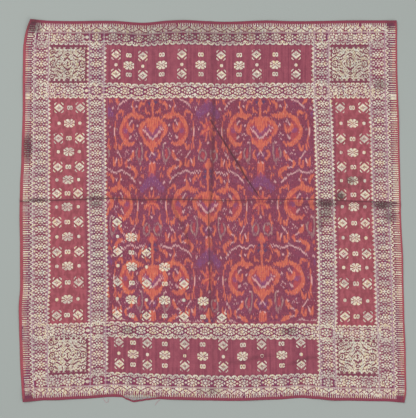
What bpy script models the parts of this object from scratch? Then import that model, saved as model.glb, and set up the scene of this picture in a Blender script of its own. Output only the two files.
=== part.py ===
"""A square songket head cloth lying face up and nearly flat, in metres, with +Z up.

One woven sheet with its two selvedge cords, its two narrow turned hems, its fold lines and its small
creases. X runs along the warp, from the left hem to the right one, and Y from the lower selvedge to
the upper one. Positions on the flat cloth are in millimetres from its middle.
"""

import math
from collections import namedtuple

import bmesh
import bpy
from mathutils import Vector
from mathutils.geometry import delaunay_2d_cdt

# The flat cloth
MM = 0.001
HALF_SIDE = 435.0
SHEET_THICK = 1.1

# Selvedge cords, along the upper and lower sides
CORD_WIDTH = 4.0
CORD_CREST_IN = 1.6
CORD_EDGE_THICK = 1.3
CORD_CREST_THICK = 2.5

# Turned hems, along the left and right sides
HEM_WIDTH = 5.6
HEM_STEP = 1.2
HEM_EDGE_THICK = 1.2
HEM_THICK = 1.9

# Spacing of the mesh
ALONG_STEP = 15.0
OPEN_STEP = 31.0
ROW_SHIFT = 7.5
CLEAR_OF_LINES = 8.0
CLEAR_OF_POINTS = 4.5
FOLD_ROWS_ACROSS = (-1.0, -0.5, 0.0, 0.5, 1.0)

# Where each side runs: how far along it, and how far out from the middle
Side = namedtuple("Side", "along out")
UPPER_SIDE = [
    Side(-435, 433.5),
    Side(-316, 431.5),
    Side(-224, 431.5),
    Side(-156, 427.8),
    Side(-92, 432.5),
    Side(-59, 433.2),
    Side(36, 430.2),
    Side(128, 432.5),
    Side(185, 431.1),
    Side(311, 432.5),
    Side(394, 433.2),
    Side(435, 432.0),
]
LOWER_SIDE = [
    Side(-435, -432.5),
    Side(-372, -429.6),
    Side(-297, -426.5),
    Side(-223, -422.1),
    Side(-160, -425.2),
    Side(-88, -428.1),
    Side(-10, -430.1),
    Side(35, -431.0),
    Side(140, -428.1),
    Side(200, -424.5),
    Side(230, -426.5),
    Side(275, -430.1),
    Side(380, -431.9),
    Side(435, -434.1),
]
LEFT_SIDE = [
    Side(-435, -434.0),
    Side(-330, -434.0),
    Side(-270, -435.5),
    Side(-223, -436.8),
    Side(-180, -434.7),
    Side(-92, -435.6),
    Side(10, -437.2),
    Side(52, -436.9),
    Side(112, -434.5),
    Side(234, -432.4),
    Side(435, -433.2),
]
RIGHT_SIDE = [
    Side(-435, 437.2),
    Side(-360, 436.0),
    Side(-240, 433.5),
    Side(-119, 431.5),
    Side(5, 428.0),
    Side(174, 426.2),
    Side(266, 423.8),
    Side(326, 423.0),
    Side(435, 423.0),
]

# Corners: how far each is drawn along the cloth, over what reach, and how far it stands off the table
Corner = namedtuple("Corner", "x y draw_x draw_y draw_reach lift lift_reach")
CORNERS = [
    Corner(-435, 435, 18.5, 0.5, 75, 8.0, 62),
    Corner(435, 435, -1.5, 0.0, 30, 3.5, 44),
    Corner(-435, -435, 9.0, 0.0, 130, 4.5, 50),
    Corner(435, -435, -6.4, 0.0, 40, 3.0, 40),
]

# Folds and creases: the line each one's crest follows, with its height and half width there
Crest = namedtuple("Crest", "x y height half_width")
CROSS_FOLD = [
    Crest(-435, 19, 1.6, 9),
    Crest(-330, 22, 2.6, 9),
    Crest(-238, 22, 3.2, 9),
    Crest(-105, 21, 3.6, 10),
    Crest(-40, 21, 3.4, 10),
    Crest(60, 18, 2.4, 10),
    Crest(225, 8, 2.6, 11),
    Crest(290, 13, 3.6, 13),
    Crest(350, 10, 3.0, 12),
    Crest(435, 12, 1.8, 10),
]
MIDDLE_FOLD = [
    Crest(3, 435, 1.0, 8),
    Crest(2, 300, 2.0, 9),
    Crest(1, 140, 2.4, 9),
    Crest(0, -60, 2.4, 10),
    Crest(2, -250, 2.0, 9),
    Crest(4, -435, 1.0, 8),
]
LONG_SLANT = [
    Crest(9, 232, 1.6, 8),
    Crest(45, 135, 3.4, 11),
    Crest(63, 101, 3.4, 11),
    Crest(103, 38, 1.8, 8),
]
SHORT_SLANT = [
    Crest(-55, 114, 1.2, 9),
    Crest(-80, 70, 2.2, 10),
    Crest(-106, 34, 1.4, 9),
]
LOWER_PUCKER = [
    Crest(20, -350, 0.8, 7),
    Crest(64, -346, 3.4, 9),
    Crest(104, -336, 3.0, 9),
    Crest(150, -334, 0.8, 7),
]
RIGHT_PUCKER = [
    Crest(152, -362, 0.8, 7),
    Crest(196, -350, 3.6, 9),
    Crest(218, -341, 3.6, 9),
    Crest(252, -338, 0.8, 7),
]
STAIN_PUCKER = [
    Crest(268, 62, 0.8, 8),
    Crest(300, 55, 2.6, 11),
    Crest(352, 47, 2.4, 10),
    Crest(384, 44, 0.8, 8),
]
FOLDS = [CROSS_FOLD, MIDDLE_FOLD, LONG_SLANT, SHORT_SLANT, LOWER_PUCKER, RIGHT_PUCKER, STAIN_PUCKER]

# Low swells, where the cloth stands a little off the table between its folds
Swell = namedtuple("Swell", "x y reach_x reach_y height")
SWELLS = [
    Swell(-250, 435, 70, 46, 2.6),
    Swell(-70, 435, 60, 40, 2.4),
    Swell(150, 435, 80, 42, 2.2),
    Swell(330, 435, 60, 36, 2.0),
    Swell(-330, -435, 60, 38, 2.0),
    Swell(-70, -435, 64, 36, 2.2),
    Swell(90, -435, 60, 40, 2.4),
    Swell(260, -435, 60, 40, 2.6),
    Swell(-435, 290, 38, 66, 2.2),
    Swell(-435, -30, 36, 60, 1.8),
    Swell(-435, -240, 36, 70, 2.2),
    Swell(435, 230, 38, 70, 2.2),
    Swell(435, -120, 38, 70, 2.0),
    Swell(435, -300, 36, 60, 2.2),
    Swell(130, 150, 70, 50, 2.2),
    Swell(-60, -200, 60, 50, 1.8),
    Swell(150, -120, 60, 60, 1.8),
    Swell(320, 340, 56, 40, 2.0),
    Swell(-330, -330, 60, 44, 1.8),
]

# The torn place, where the lower cord has come away and hangs clear of the cloth
Sag = namedtuple("Sag", "along out")
CORD_SAG = [
    Sag(-204, 0.0),
    Sag(-192, 5.6),
    Sag(-179, 9.4),
    Sag(-163, 6.8),
    Sag(-148, 4.0),
    Sag(-133, 1.8),
    Sag(-122, 0.0),
]
TEAR_STARTS = -204.0
TEAR_ENDS = -122.0
TORN_EDGE_IN = 3.2
TEAR_STEP = 8.0
TEAR_CLEAR = 3.0

# Points closer than this on the flat cloth are one point
SAME_PLACE = 0.01
ALL_TRIANGLES = 0

CLOTH_RED = (0.36, 0.06, 0.09, 1.0)
CLOTH_ROUGHNESS = 0.7


def ease(share):
    """A soft step from 0 to 1."""
    share = min(max(share, 0.0), 1.0)
    return share * share * (3.0 - 2.0 * share)


def read_table(rows, along, column):
    """A column's value at a place along a table whose first column rises."""
    if along <= rows[0][0]:
        return getattr(rows[0], column)
    for before, after in zip(rows, rows[1:]):
        if along <= after[0]:
            share = ease((along - before[0]) / (after[0] - before[0]))
            start = getattr(before, column)
            return start + (getattr(after, column) - start) * share
    return getattr(rows[-1], column)


def steps_between(start, end, step):
    """Evenly spaced places from start to end, both included."""
    count = max(1, round(abs(end - start) / step))
    return [start + (end - start) * i / count for i in range(count + 1)]


def near_fold(x, y, crests):
    """How far a place is from a fold's crest line, with the fold's height and half width there."""
    best = None
    for start, end in zip(crests, crests[1:]):
        run_x = end.x - start.x
        run_y = end.y - start.y
        share = ((x - start.x) * run_x + (y - start.y) * run_y) / (run_x * run_x + run_y * run_y)
        share = min(max(share, 0.0), 1.0)
        away = math.hypot(x - start.x - run_x * share, y - start.y - run_y * share)
        if best is None or away < best[0]:
            height = start.height + (end.height - start.height) * share
            half_width = start.half_width + (end.half_width - start.half_width) * share
            best = (away, height, half_width)
    return best


def lift_at(x, y):
    """How far the cloth's underside stands off the table."""
    lift = 0.0
    for crests in FOLDS:
        away, height, half_width = near_fold(x, y, crests)
        lift = max(lift, height * ease(1.0 - away / half_width))
    for swell in SWELLS:
        away = math.hypot((x - swell.x) / swell.reach_x, (y - swell.y) / swell.reach_y)
        lift = max(lift, swell.height * ease(1.0 - away))
    for corner in CORNERS:
        away = math.hypot(x - corner.x, y - corner.y)
        lift += corner.lift * ease(1.0 - away / corner.lift_reach)
    return lift


def thickness_at(x, y):
    """The cloth's thickness, with the cords and the turned hems."""
    thick = SHEET_THICK
    from_cord_edge = HALF_SIDE - abs(y)
    if from_cord_edge < CORD_CREST_IN:
        share = from_cord_edge / CORD_CREST_IN
        thick = CORD_EDGE_THICK + (CORD_CREST_THICK - CORD_EDGE_THICK) * share
    elif from_cord_edge < CORD_WIDTH:
        share = (from_cord_edge - CORD_CREST_IN) / (CORD_WIDTH - CORD_CREST_IN)
        thick = CORD_CREST_THICK + (SHEET_THICK - CORD_CREST_THICK) * share
    from_hem_edge = HALF_SIDE - abs(x)
    if from_hem_edge < HEM_STEP:
        hem = HEM_EDGE_THICK + (HEM_THICK - HEM_EDGE_THICK) * from_hem_edge / HEM_STEP
        thick = max(thick, hem)
    elif from_hem_edge < HEM_WIDTH:
        thick = max(thick, HEM_THICK)
    return thick


def place(x, y):
    """Where a point of the flat cloth lies on the table, seen from above."""
    across = (x / HALF_SIDE + 1.0) / 2.0
    upward = (y / HALF_SIDE + 1.0) / 2.0
    left = read_table(LEFT_SIDE, y, "out")
    right = read_table(RIGHT_SIDE, y, "out")
    lower = read_table(LOWER_SIDE, x, "out")
    upper = read_table(UPPER_SIDE, x, "out")
    table_x = left + (right - left) * across
    table_y = lower + (upper - lower) * upward
    for corner in CORNERS:
        near = max(0.0, 1.0 - math.hypot(x - corner.x, y - corner.y) / corner.draw_reach)
        table_x += corner.draw_x * near * near
        table_y += corner.draw_y * near * near
    if y <= CORD_WIDTH - HALF_SIDE + SAME_PLACE:
        table_y -= read_table(CORD_SAG, x, "out")
    return table_x, table_y


class PlanMesh:
    """Points and fixed edges on the flat cloth, each point kept once."""

    def __init__(self):
        self.points = []
        self.edges = []
        self.index = {}

    def add(self, x, y):
        key = (round(x / SAME_PLACE), round(y / SAME_PLACE))
        if key not in self.index:
            self.index[key] = len(self.points)
            self.points.append((x, y))
        return self.index[key]

    def add_line(self, places):
        ids = [self.add(x, y) for x, y in places]
        self.edges += list(zip(ids, ids[1:]))

    def clear_of(self, x, y, distance):
        return all(math.hypot(x - px, y - py) >= distance for px, py in self.points)


def edge_places(lines_in):
    """Places along one side: close together over the hems, then evenly spaced."""
    inner = HALF_SIDE - max(lines_in)
    near_start = [inset - HALF_SIDE for inset in lines_in]
    near_end = [HALF_SIDE - inset for inset in reversed(lines_in)]
    return near_start[:-1] + steps_between(-inner, inner, ALONG_STEP) + near_end[1:]


def tear_outline():
    """The opening between the loose cord and the torn edge of the cloth."""
    cord_y = CORD_WIDTH - HALF_SIDE
    along = steps_between(TEAR_STARTS, TEAR_ENDS, TEAR_STEP)
    length = TEAR_ENDS - TEAR_STARTS
    torn = [(x, cord_y + TORN_EDGE_IN * math.sin(math.pi * (x - TEAR_STARTS) / length)) for x in along]
    return [(x, cord_y) for x in along], torn


def inside(polygon, x, y):
    crossings = 0
    for (ax, ay), (bx, by) in zip(polygon, polygon[1:] + polygon[:1]):
        if (ay > y) != (by > y) and x < ax + (bx - ax) * (y - ay) / (by - ay):
            crossings += 1
    return crossings % 2 == 1


def plan_triangles():
    """The flat cloth cut into triangles along its hems and folds, with the tear left open."""
    plan = PlanMesh()
    cord_lines = [0.0, CORD_CREST_IN, CORD_WIDTH]
    hem_lines = [0.0, HEM_STEP, HEM_WIDTH - HEM_STEP, HEM_WIDTH]
    torn_cord, torn_cloth = tear_outline()
    x_places = edge_places(hem_lines)
    y_places = edge_places(cord_lines)
    torn = (TEAR_STARTS - TEAR_CLEAR, TEAR_ENDS + TEAR_CLEAR)
    whole = [x for x in x_places if not torn[0] < x < torn[1]]
    x_places = sorted(whole + [x for x, _ in torn_cord])
    for inset in cord_lines:
        for y in (inset - HALF_SIDE, HALF_SIDE - inset):
            plan.add_line([(x, y) for x in x_places])
    for inset in hem_lines:
        for x in (inset - HALF_SIDE, HALF_SIDE - inset):
            plan.add_line([(x, y) for y in y_places])
    plan.add_line(torn_cloth)
    inner_x = HALF_SIDE - HEM_WIDTH
    inner_y = HALF_SIDE - CORD_WIDTH
    for crests in FOLDS:
        for start, end in zip(crests, crests[1:]):
            run = math.hypot(end.x - start.x, end.y - start.y)
            side_x = -(end.y - start.y) / run
            side_y = (end.x - start.x) / run
            for share in steps_between(0.0, 1.0, ALONG_STEP / run)[:-1]:
                half_width = start.half_width + (end.half_width - start.half_width) * share
                for row in FOLD_ROWS_ACROSS:
                    x = start.x + (end.x - start.x) * share + side_x * row * half_width
                    y = start.y + (end.y - start.y) * share + side_y * row * half_width
                    if abs(x) < inner_x - CLEAR_OF_POINTS and abs(y) < inner_y - CLEAR_OF_POINTS:
                        if plan.clear_of(x, y, CLEAR_OF_POINTS):
                            plan.add(x, y)
    rows = steps_between(-inner_y + OPEN_STEP / 2, inner_y - OPEN_STEP / 2, OPEN_STEP)
    for number, y in enumerate(rows):
        shift = ROW_SHIFT if number % 2 else -ROW_SHIFT
        for x in steps_between(-inner_x + OPEN_STEP / 2, inner_x - OPEN_STEP / 2, OPEN_STEP):
            if plan.clear_of(x + shift, y, CLEAR_OF_LINES):
                plan.add(x + shift, y)
    hole = torn_cord + torn_cloth[-2:0:-1]
    flat = [Vector(point) for point in plan.points]
    points, _, faces, _, _, _ = delaunay_2d_cdt(flat, plan.edges, [], ALL_TRIANGLES, SAME_PLACE / 10.0)
    kept = []
    for face in faces:
        middle_x = sum(points[i].x for i in face) / len(face)
        middle_y = sum(points[i].y for i in face) / len(face)
        if not inside(hole, middle_x, middle_y):
            kept.append(face)
    return [(point.x, point.y) for point in points], kept


def build_cloth(name):
    """The closed sheet: its face, its underside and the edge between them."""
    points, faces = plan_triangles()
    mesh = bmesh.new()
    upper = []
    lower = []
    for x, y in points:
        table_x, table_y = place(x, y)
        lift = lift_at(x, y)
        top = lift + thickness_at(x, y)
        lower.append(mesh.verts.new((table_x * MM, table_y * MM, lift * MM)))
        upper.append(mesh.verts.new((table_x * MM, table_y * MM, top * MM)))
    for face in faces:
        mesh.faces.new([upper[i] for i in face])
    open_edges = [edge for edge in mesh.edges if edge.is_boundary]
    below = {top: bottom for top, bottom in zip(upper, lower)}
    rims = [(edge.verts[0], edge.verts[1]) for edge in open_edges]
    for face in faces:
        mesh.faces.new([lower[i] for i in reversed(face)])
    for first, second in rims:
        mesh.faces.new([first, second, below[second], below[first]])
    loose = [vert for vert in mesh.verts if not vert.link_faces]
    bmesh.ops.delete(mesh, geom=loose, context="VERTS")
    bmesh.ops.recalc_face_normals(mesh, faces=mesh.faces)
    bmesh.ops.triangulate(mesh, faces=mesh.faces)
    data = bpy.data.meshes.new(name)
    mesh.to_mesh(data)
    mesh.free()
    cloth = bpy.data.objects.new(name, data)
    bpy.context.scene.collection.objects.link(cloth)
    return cloth


def finish(name, color, roughness):
    material = bpy.data.materials.new(name)
    material.use_nodes = True
    shader = material.node_tree.nodes["Principled BSDF"]
    shader.inputs["Base Color"].default_value = color
    shader.inputs["Roughness"].default_value = roughness
    return material


for old in list(bpy.data.objects):
    bpy.data.objects.remove(old)

songket_cloth = build_cloth("songket_cloth")
songket_cloth.data.materials.append(finish("songket_cloth", CLOTH_RED, CLOTH_ROUGHNESS))
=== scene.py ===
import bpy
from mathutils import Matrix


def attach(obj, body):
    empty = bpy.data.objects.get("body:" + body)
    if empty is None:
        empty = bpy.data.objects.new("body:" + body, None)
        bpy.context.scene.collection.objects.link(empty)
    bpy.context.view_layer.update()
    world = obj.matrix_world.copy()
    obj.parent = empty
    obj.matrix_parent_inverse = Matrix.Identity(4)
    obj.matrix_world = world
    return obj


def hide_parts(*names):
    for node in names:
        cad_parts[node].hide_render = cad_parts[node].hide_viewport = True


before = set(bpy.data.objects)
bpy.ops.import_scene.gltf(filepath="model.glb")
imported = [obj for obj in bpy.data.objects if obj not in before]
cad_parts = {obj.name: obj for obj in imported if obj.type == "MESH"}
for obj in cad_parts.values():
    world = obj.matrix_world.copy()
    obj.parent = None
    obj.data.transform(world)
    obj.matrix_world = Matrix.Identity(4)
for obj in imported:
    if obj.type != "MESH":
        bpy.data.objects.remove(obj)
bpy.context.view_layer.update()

# %% [markdown]
# # A square songket head cloth, laid out face up
# The cloth is silk, woven in one piece. Its middle is tie-dyed weft (limar), and its borders, panels and
# corner squares carry floats of gold-wrapped thread. The warp runs along X and the weft along Y, so every
# gold float lies along Y. Sizes are in millimetres on the flat cloth, measured from its middle, and
# become metres only where a mesh is made.

# %% Tools and the frame
import math
from collections import namedtuple

import bpy
import numpy as np
from mathutils import Vector

MM = 0.001
print("frame nodes:", sorted(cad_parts))

# %% [markdown]
# ## The cloth's sizes
# A hand-woven square is never quite square: the selvedges wave, two corners are drawn in, and the lower
# side is a little wider. Each side is a short table of how far along it and how far out it runs.

# %% Named sizes
HALF_SIDE = 435.0
SHEET_THICK = 1.1
CORD_WIDTH = 4.0
CORD_CREST_IN = 1.6
CORD_EDGE_THICK = 1.3
CORD_CREST_THICK = 2.5
HEM_WIDTH = 5.6
HEM_STEP = 1.2
HEM_EDGE_THICK = 1.2
HEM_THICK = 1.9

Side = namedtuple("Side", "along out")
UPPER_SIDE = [Side(-435, 433.5), Side(-316, 431.5), Side(-224, 431.5), Side(-156, 427.8), Side(-92, 432.5),
              Side(-59, 433.2), Side(36, 430.2), Side(128, 432.5), Side(185, 431.1), Side(311, 432.5),
              Side(394, 433.2), Side(435, 432.0)]
LOWER_SIDE = [Side(-435, -432.5), Side(-372, -429.6), Side(-297, -426.5), Side(-223, -422.1),
              Side(-160, -425.2), Side(-88, -428.1), Side(-10, -430.1), Side(35, -431.0),
              Side(140, -428.1), Side(200, -424.5), Side(230, -426.5), Side(275, -430.1),
              Side(380, -431.9), Side(435, -434.1)]
LEFT_SIDE = [Side(-435, -434.0), Side(-330, -434.0), Side(-270, -435.5), Side(-223, -436.8),
             Side(-180, -434.7), Side(-92, -435.6), Side(10, -437.2), Side(52, -436.9),
             Side(112, -434.5), Side(234, -432.4), Side(435, -433.2)]
RIGHT_SIDE = [Side(-435, 437.2), Side(-360, 436.0), Side(-240, 433.5), Side(-119, 431.5), Side(5, 428.0),
              Side(174, 426.2), Side(266, 423.8), Side(326, 423.0), Side(435, 423.0)]

Corner = namedtuple("Corner", "x y draw_x draw_y draw_reach lift lift_reach")
CORNERS = [
    Corner(-435, 435, 18.5, 0.5, 75, 8.0, 62),
    Corner(435, 435, -1.5, 0.0, 30, 3.5, 44),
    Corner(-435, -435, 9.0, 0.0, 130, 4.5, 50),
    Corner(435, -435, -6.4, 0.0, 40, 3.0, 40),
]

# %% [markdown]
# ## Folds, creases and swells
# The cloth was kept folded in four, so one fold crosses it from side to side and one runs down the
# middle. A long slanting crease and a few puckers came later. Each is a line of crest points, with its
# height and half width there, and the swells are where the cloth stands a little off the table.

# %% Fold tables
Crest = namedtuple("Crest", "x y height half_width")
CROSS_FOLD = [Crest(-435, 19, 1.6, 9), Crest(-330, 22, 2.6, 9), Crest(-238, 22, 3.2, 9),
              Crest(-105, 21, 3.6, 10), Crest(-40, 21, 3.4, 10), Crest(60, 18, 2.4, 10),
              Crest(225, 8, 2.6, 11), Crest(290, 13, 3.6, 13), Crest(350, 10, 3.0, 12),
              Crest(435, 12, 1.8, 10)]
MIDDLE_FOLD = [Crest(3, 435, 1.0, 8), Crest(2, 300, 2.0, 9), Crest(1, 140, 2.4, 9), Crest(0, -60, 2.4, 10),
               Crest(2, -250, 2.0, 9), Crest(4, -435, 1.0, 8)]
LONG_SLANT = [Crest(9, 232, 1.6, 8), Crest(45, 135, 3.4, 11), Crest(63, 101, 3.4, 11), Crest(103, 38, 1.8, 8)]
SHORT_SLANT = [Crest(-55, 114, 1.2, 9), Crest(-80, 70, 2.2, 10), Crest(-106, 34, 1.4, 9)]
LOWER_PUCKER = [Crest(20, -350, 0.8, 7), Crest(64, -346, 3.4, 9), Crest(104, -336, 3.0, 9),
                Crest(150, -334, 0.8, 7)]
RIGHT_PUCKER = [Crest(152, -362, 0.8, 7), Crest(196, -350, 3.6, 9), Crest(218, -341, 3.6, 9),
                Crest(252, -338, 0.8, 7)]
STAIN_PUCKER = [Crest(268, 62, 0.8, 8), Crest(300, 55, 2.6, 11), Crest(352, 47, 2.4, 10),
                Crest(384, 44, 0.8, 8)]
FOLDS = [CROSS_FOLD, MIDDLE_FOLD, LONG_SLANT, SHORT_SLANT, LOWER_PUCKER, RIGHT_PUCKER, STAIN_PUCKER]

Swell = namedtuple("Swell", "x y reach_x reach_y height")
SWELLS = [
    Swell(-250, 435, 70, 46, 2.6), Swell(-70, 435, 60, 40, 2.4), Swell(150, 435, 80, 42, 2.2),
    Swell(330, 435, 60, 36, 2.0), Swell(-330, -435, 60, 38, 2.0), Swell(-70, -435, 64, 36, 2.2),
    Swell(90, -435, 60, 40, 2.4), Swell(260, -435, 60, 40, 2.6), Swell(-435, 290, 38, 66, 2.2),
    Swell(-435, -30, 36, 60, 1.8), Swell(-435, -240, 36, 70, 2.2), Swell(435, 230, 38, 70, 2.2),
    Swell(435, -120, 38, 70, 2.0), Swell(435, -300, 36, 60, 2.2), Swell(130, 150, 70, 50, 2.2),
    Swell(-60, -200, 60, 50, 1.8), Swell(150, -120, 60, 60, 1.8), Swell(320, 340, 56, 40, 2.0),
    Swell(-330, -330, 60, 44, 1.8),
]

Sag = namedtuple("Sag", "along out")
CORD_SAG = [Sag(-204, 0.0), Sag(-192, 5.6), Sag(-179, 9.4), Sag(-163, 6.8), Sag(-148, 4.0), Sag(-133, 1.8),
            Sag(-122, 0.0)]
TEAR_STARTS = -204.0
TEAR_ENDS = -122.0
TORN_EDGE_IN = 3.2
TORN_EDGE_LEAST = 0.6


# %% Reading the tables for many places at once
def ease(share):
    """A soft step from 0 to 1."""
    share = np.clip(share, 0.0, 1.0)
    return share * share * (3.0 - 2.0 * share)


def read_table(rows, along):
    """A side's or the sag's second column at many places, softly joined from row to row."""
    at = np.array([row[0] for row in rows], float)
    out = np.array([row[1] for row in rows], float)
    before = np.clip(np.searchsorted(at, along, side="right") - 1, 0, len(at) - 2)
    share = ease((along - at[before]) / (at[before + 1] - at[before]))
    return out[before] + (out[before + 1] - out[before]) * share


def near_line(x, y, x1, y1, x2, y2):
    """The share along a straight line that each place is nearest to, and how far away the place is."""
    run_x, run_y = x2 - x1, y2 - y1
    share = ((x - x1) * run_x + (y - y1) * run_y) / (run_x * run_x + run_y * run_y)
    share = np.clip(share, 0.0, 1.0)
    return share, np.hypot(x - x1 - run_x * share, y - y1 - run_y * share)


def near_fold(x, y, crests):
    """How far places are from a fold's crest, with its height and half width there."""
    away = np.full(np.shape(x), 1e9)
    height = np.zeros(np.shape(x))
    half_width = np.ones(np.shape(x))
    for start, end in zip(crests, crests[1:]):
        share, here = near_line(x, y, start.x, start.y, end.x, end.y)
        nearer = here < away
        away = np.where(nearer, here, away)
        height = np.where(nearer, start.height + (end.height - start.height) * share, height)
        wide = start.half_width + (end.half_width - start.half_width) * share
        half_width = np.where(nearer, wide, half_width)
    return away, height, half_width


def lift_at(x, y):
    """How far the underside stands off the table."""
    lift = np.zeros(np.shape(x))
    for crests in FOLDS:
        away, height, half_width = near_fold(x, y, crests)
        lift = np.maximum(lift, height * ease(1.0 - away / half_width))
    for swell in SWELLS:
        away = np.hypot((x - swell.x) / swell.reach_x, (y - swell.y) / swell.reach_y)
        lift = np.maximum(lift, swell.height * ease(1.0 - away))
    for corner in CORNERS:
        away = np.hypot(x - corner.x, y - corner.y)
        lift = lift + corner.lift * ease(1.0 - away / corner.lift_reach)
    return lift


def thickness_at(x, y):
    """The cloth's thickness, with its selvedge cords and turned hems."""
    from_cord = HALF_SIDE - np.abs(y)
    rows_in = [0.0, CORD_CREST_IN, CORD_WIDTH, HALF_SIDE]
    thick = np.interp(from_cord, rows_in, [CORD_EDGE_THICK, CORD_CREST_THICK, SHEET_THICK, SHEET_THICK])
    from_hem = HALF_SIDE - np.abs(x)
    rows_in = [0.0, HEM_STEP, HEM_WIDTH - HEM_STEP, HEM_WIDTH, HALF_SIDE]
    hem = np.interp(from_hem, rows_in, [HEM_EDGE_THICK, HEM_THICK, HEM_THICK, SHEET_THICK, SHEET_THICK])
    return np.maximum(thick, hem)


def place(x, y, on_cord):
    """Where points of the flat cloth lie on the table, seen from above."""
    across = (x / HALF_SIDE + 1.0) / 2.0
    upward = (y / HALF_SIDE + 1.0) / 2.0
    left, right = read_table(LEFT_SIDE, y), read_table(RIGHT_SIDE, y)
    lower, upper = read_table(LOWER_SIDE, x), read_table(UPPER_SIDE, x)
    table_x = left + (right - left) * across
    table_y = lower + (upper - lower) * upward
    for corner in CORNERS:
        near = np.maximum(0.0, 1.0 - np.hypot(x - corner.x, y - corner.y) / corner.draw_reach)
        table_x = table_x + corner.draw_x * near * near
        table_y = table_y + corner.draw_y * near * near
    return table_x, table_y - read_table(CORD_SAG, x) * on_cord


# %% [markdown]
# The strips of the border don't run quite straight. These tables say how far each one has drifted from
# its place on the loom, at heights up the cloth and, for the lower inner strip, at places across it.

# %% Drift of the woven pattern
DRIFT_AT = [-435.0, -280.0, -240.0, 0.0, 120.0, 240.0, 273.0, 435.0]
DRIFT_STRIPS = [-435.0, -390.5, -261.0, 262.0, 390.0, 435.0]
DRIFT_SIDEWAYS = [
    [0.0, 0.0, 0.0, 0.0, 0.0, 0.0, 0.0, 0.0],
    [0.0, 1.0, 1.0, 3.0, -0.5, -3.0, -3.0, -1.0],
    [2.0, 4.0, 4.5, 2.5, -0.5, -4.0, -3.4, -2.0],
    [-2.0, -3.5, -0.5, 2.0, 0.0, -2.5, -4.5, -2.0],
    [1.5, 1.5, 1.5, 0.0, -0.7, -1.5, -1.5, -1.0],
    [0.0, 0.0, 0.0, 0.0, 0.0, 0.0, 0.0, 0.0],
]
DRIFT_DOWN_AT = [-435.0, -200.0, 0.0, 80.0, 200.0, 435.0]
DRIFT_DOWN = [0.0, -1.0, 1.3, 0.0, -4.0, -2.0]


def drift(x, y):
    """How far the pattern at a place of the flat cloth has moved across and up."""
    rows = [np.interp(y, DRIFT_AT, row) for row in DRIFT_SIDEWAYS]
    before = np.clip(np.searchsorted(DRIFT_STRIPS, x) - 1, 0, len(rows) - 2)
    strips = np.array(DRIFT_STRIPS)
    share = np.clip((x - strips[before]) / (strips[before + 1] - strips[before]), 0.0, 1.0)
    moved = np.zeros(np.shape(x))
    for number, row in enumerate(rows):
        weight = np.where(before == number, 1.0 - share, np.where(before + 1 == number, share, 0.0))
        moved = moved + row * weight
    near_foot = np.interp(y, [-435.0, -396.0, -279.5, -100.0], [0.0, 0.0, 1.0, 0.0])
    return moved, near_foot * np.interp(x, DRIFT_DOWN_AT, DRIFT_DOWN)


# %% [markdown]
# ## The sheet
# One closed sheet on a grid of crossing lines, close together over the hems and about the width of two
# gold threads apart elsewhere. Below the tear the first line of cloth is drawn back and the cells between
# it and the cord are left out, so the cord hangs free as it does on the real cloth.

# %% Lines of the grid
GRID_STEP = 4.3
FIELD_X = 237.5
FIELD_TOP = 253.5
FIELD_FOOT = -258.5


def grid_lines(insets, inner_marks):
    """Places of the grid's lines from edge to edge."""
    inner = HALF_SIDE - insets[-1]
    marks = [-inner] + sorted(inner_marks) + [inner]
    lines = [inset - HALF_SIDE for inset in insets[:-1]]
    for start, end in zip(marks, marks[1:]):
        count = max(1, round((end - start) / GRID_STEP))
        lines += [start + (end - start) * i / count for i in range(count)]
    lines += [inner] + [HALF_SIDE - inset for inset in reversed(insets[:-1])]
    return np.array(lines)


line_x = grid_lines([0.0, 0.5, HEM_STEP, HEM_WIDTH - HEM_STEP, HEM_WIDTH],
                    [-FIELD_X, FIELD_X, TEAR_STARTS, TEAR_ENDS])
line_y = grid_lines([0.0, 0.7, CORD_CREST_IN, 2.8, CORD_WIDTH], [FIELD_FOOT, FIELD_TOP])
CORD_LINES = 5
flat_x, flat_y = np.meshgrid(line_x, line_y)
torn_columns = (line_x >= TEAR_STARTS - 0.1) & (line_x <= TEAR_ENDS + 0.1)
torn_share = (line_x[torn_columns] - TEAR_STARTS) / (TEAR_ENDS - TEAR_STARTS)
bite = TORN_EDGE_IN * np.sin(math.pi * torn_share) * (1.0 + 0.35 * np.sin(9.0 * math.pi * torn_share))
flat_y[CORD_LINES, torn_columns] = CORD_WIDTH - HALF_SIDE + np.maximum(bite, TORN_EDGE_LEAST)
on_cord = np.zeros(flat_x.shape)
on_cord[:CORD_LINES] = 1.0
table_x, table_y = place(flat_x, flat_y, on_cord)
under_z = lift_at(flat_x, flat_y)
over_z = under_z + thickness_at(flat_x, flat_y)
print("grid:", flat_x.shape, "highest point", round(float(over_z.max()), 2), "mm")

# %% [markdown]
# Dirt and tarnish gather along the old folds and where the cloth was held, and along the folds the
# patches also stand for painted shade. Both the silk and the gold read the same table of stains, so they
# darken together.

# %% Stains and painted fold shade
Stain = namedtuple("Stain", "x y reach_x reach_y strength")
# The long low patches on the cross fold, near y 20, are tarnish and painted fold shade together.
STAINS = [
    Stain(-421, 140, 16, 46, 0.75), Stain(262, -10, 26, 34, 0.55), Stain(172, -282, 26, 14, 0.5),
    Stain(-190, -282, 26, 14, 0.4), Stain(396, 286, 22, 22, 0.45), Stain(-418, 420, 34, 26, 0.75),
    Stain(420, 424, 20, 16, 0.5), Stain(-420, -424, 24, 18, 0.35), Stain(424, -424, 20, 16, 0.3),
    Stain(-262, 8, 24, 12, 0.5), Stain(-395, 20, 34, 8, 0.7), Stain(262, 11, 34, 12, 0.85),
    Stain(395, 9, 38, 14, 0.85), Stain(410, -14, 22, 26, 0.55), Stain(-262, 22, 30, 8, 0.65),
    Stain(0, -414, 26, 12, 0.4), Stain(-24, -414, 18, 10, 0.3), Stain(297, 30, 17, 15, 0.85),
    Stain(250, -34, 14, 26, 0.5), Stain(-262, 36, 22, 14, 0.25), Stain(-60, 406, 360, 34, 0.42),
    Stain(321, 66, 17, 13, 0.65), Stain(344, 70, 13, 11, 0.6), Stain(-329, 333, 64, 60, 0.16),
    Stain(328, 333, 64, 60, 0.14),
]


# Darkness from the stain table: real stains, with painted fold shade along the cross fold.
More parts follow.
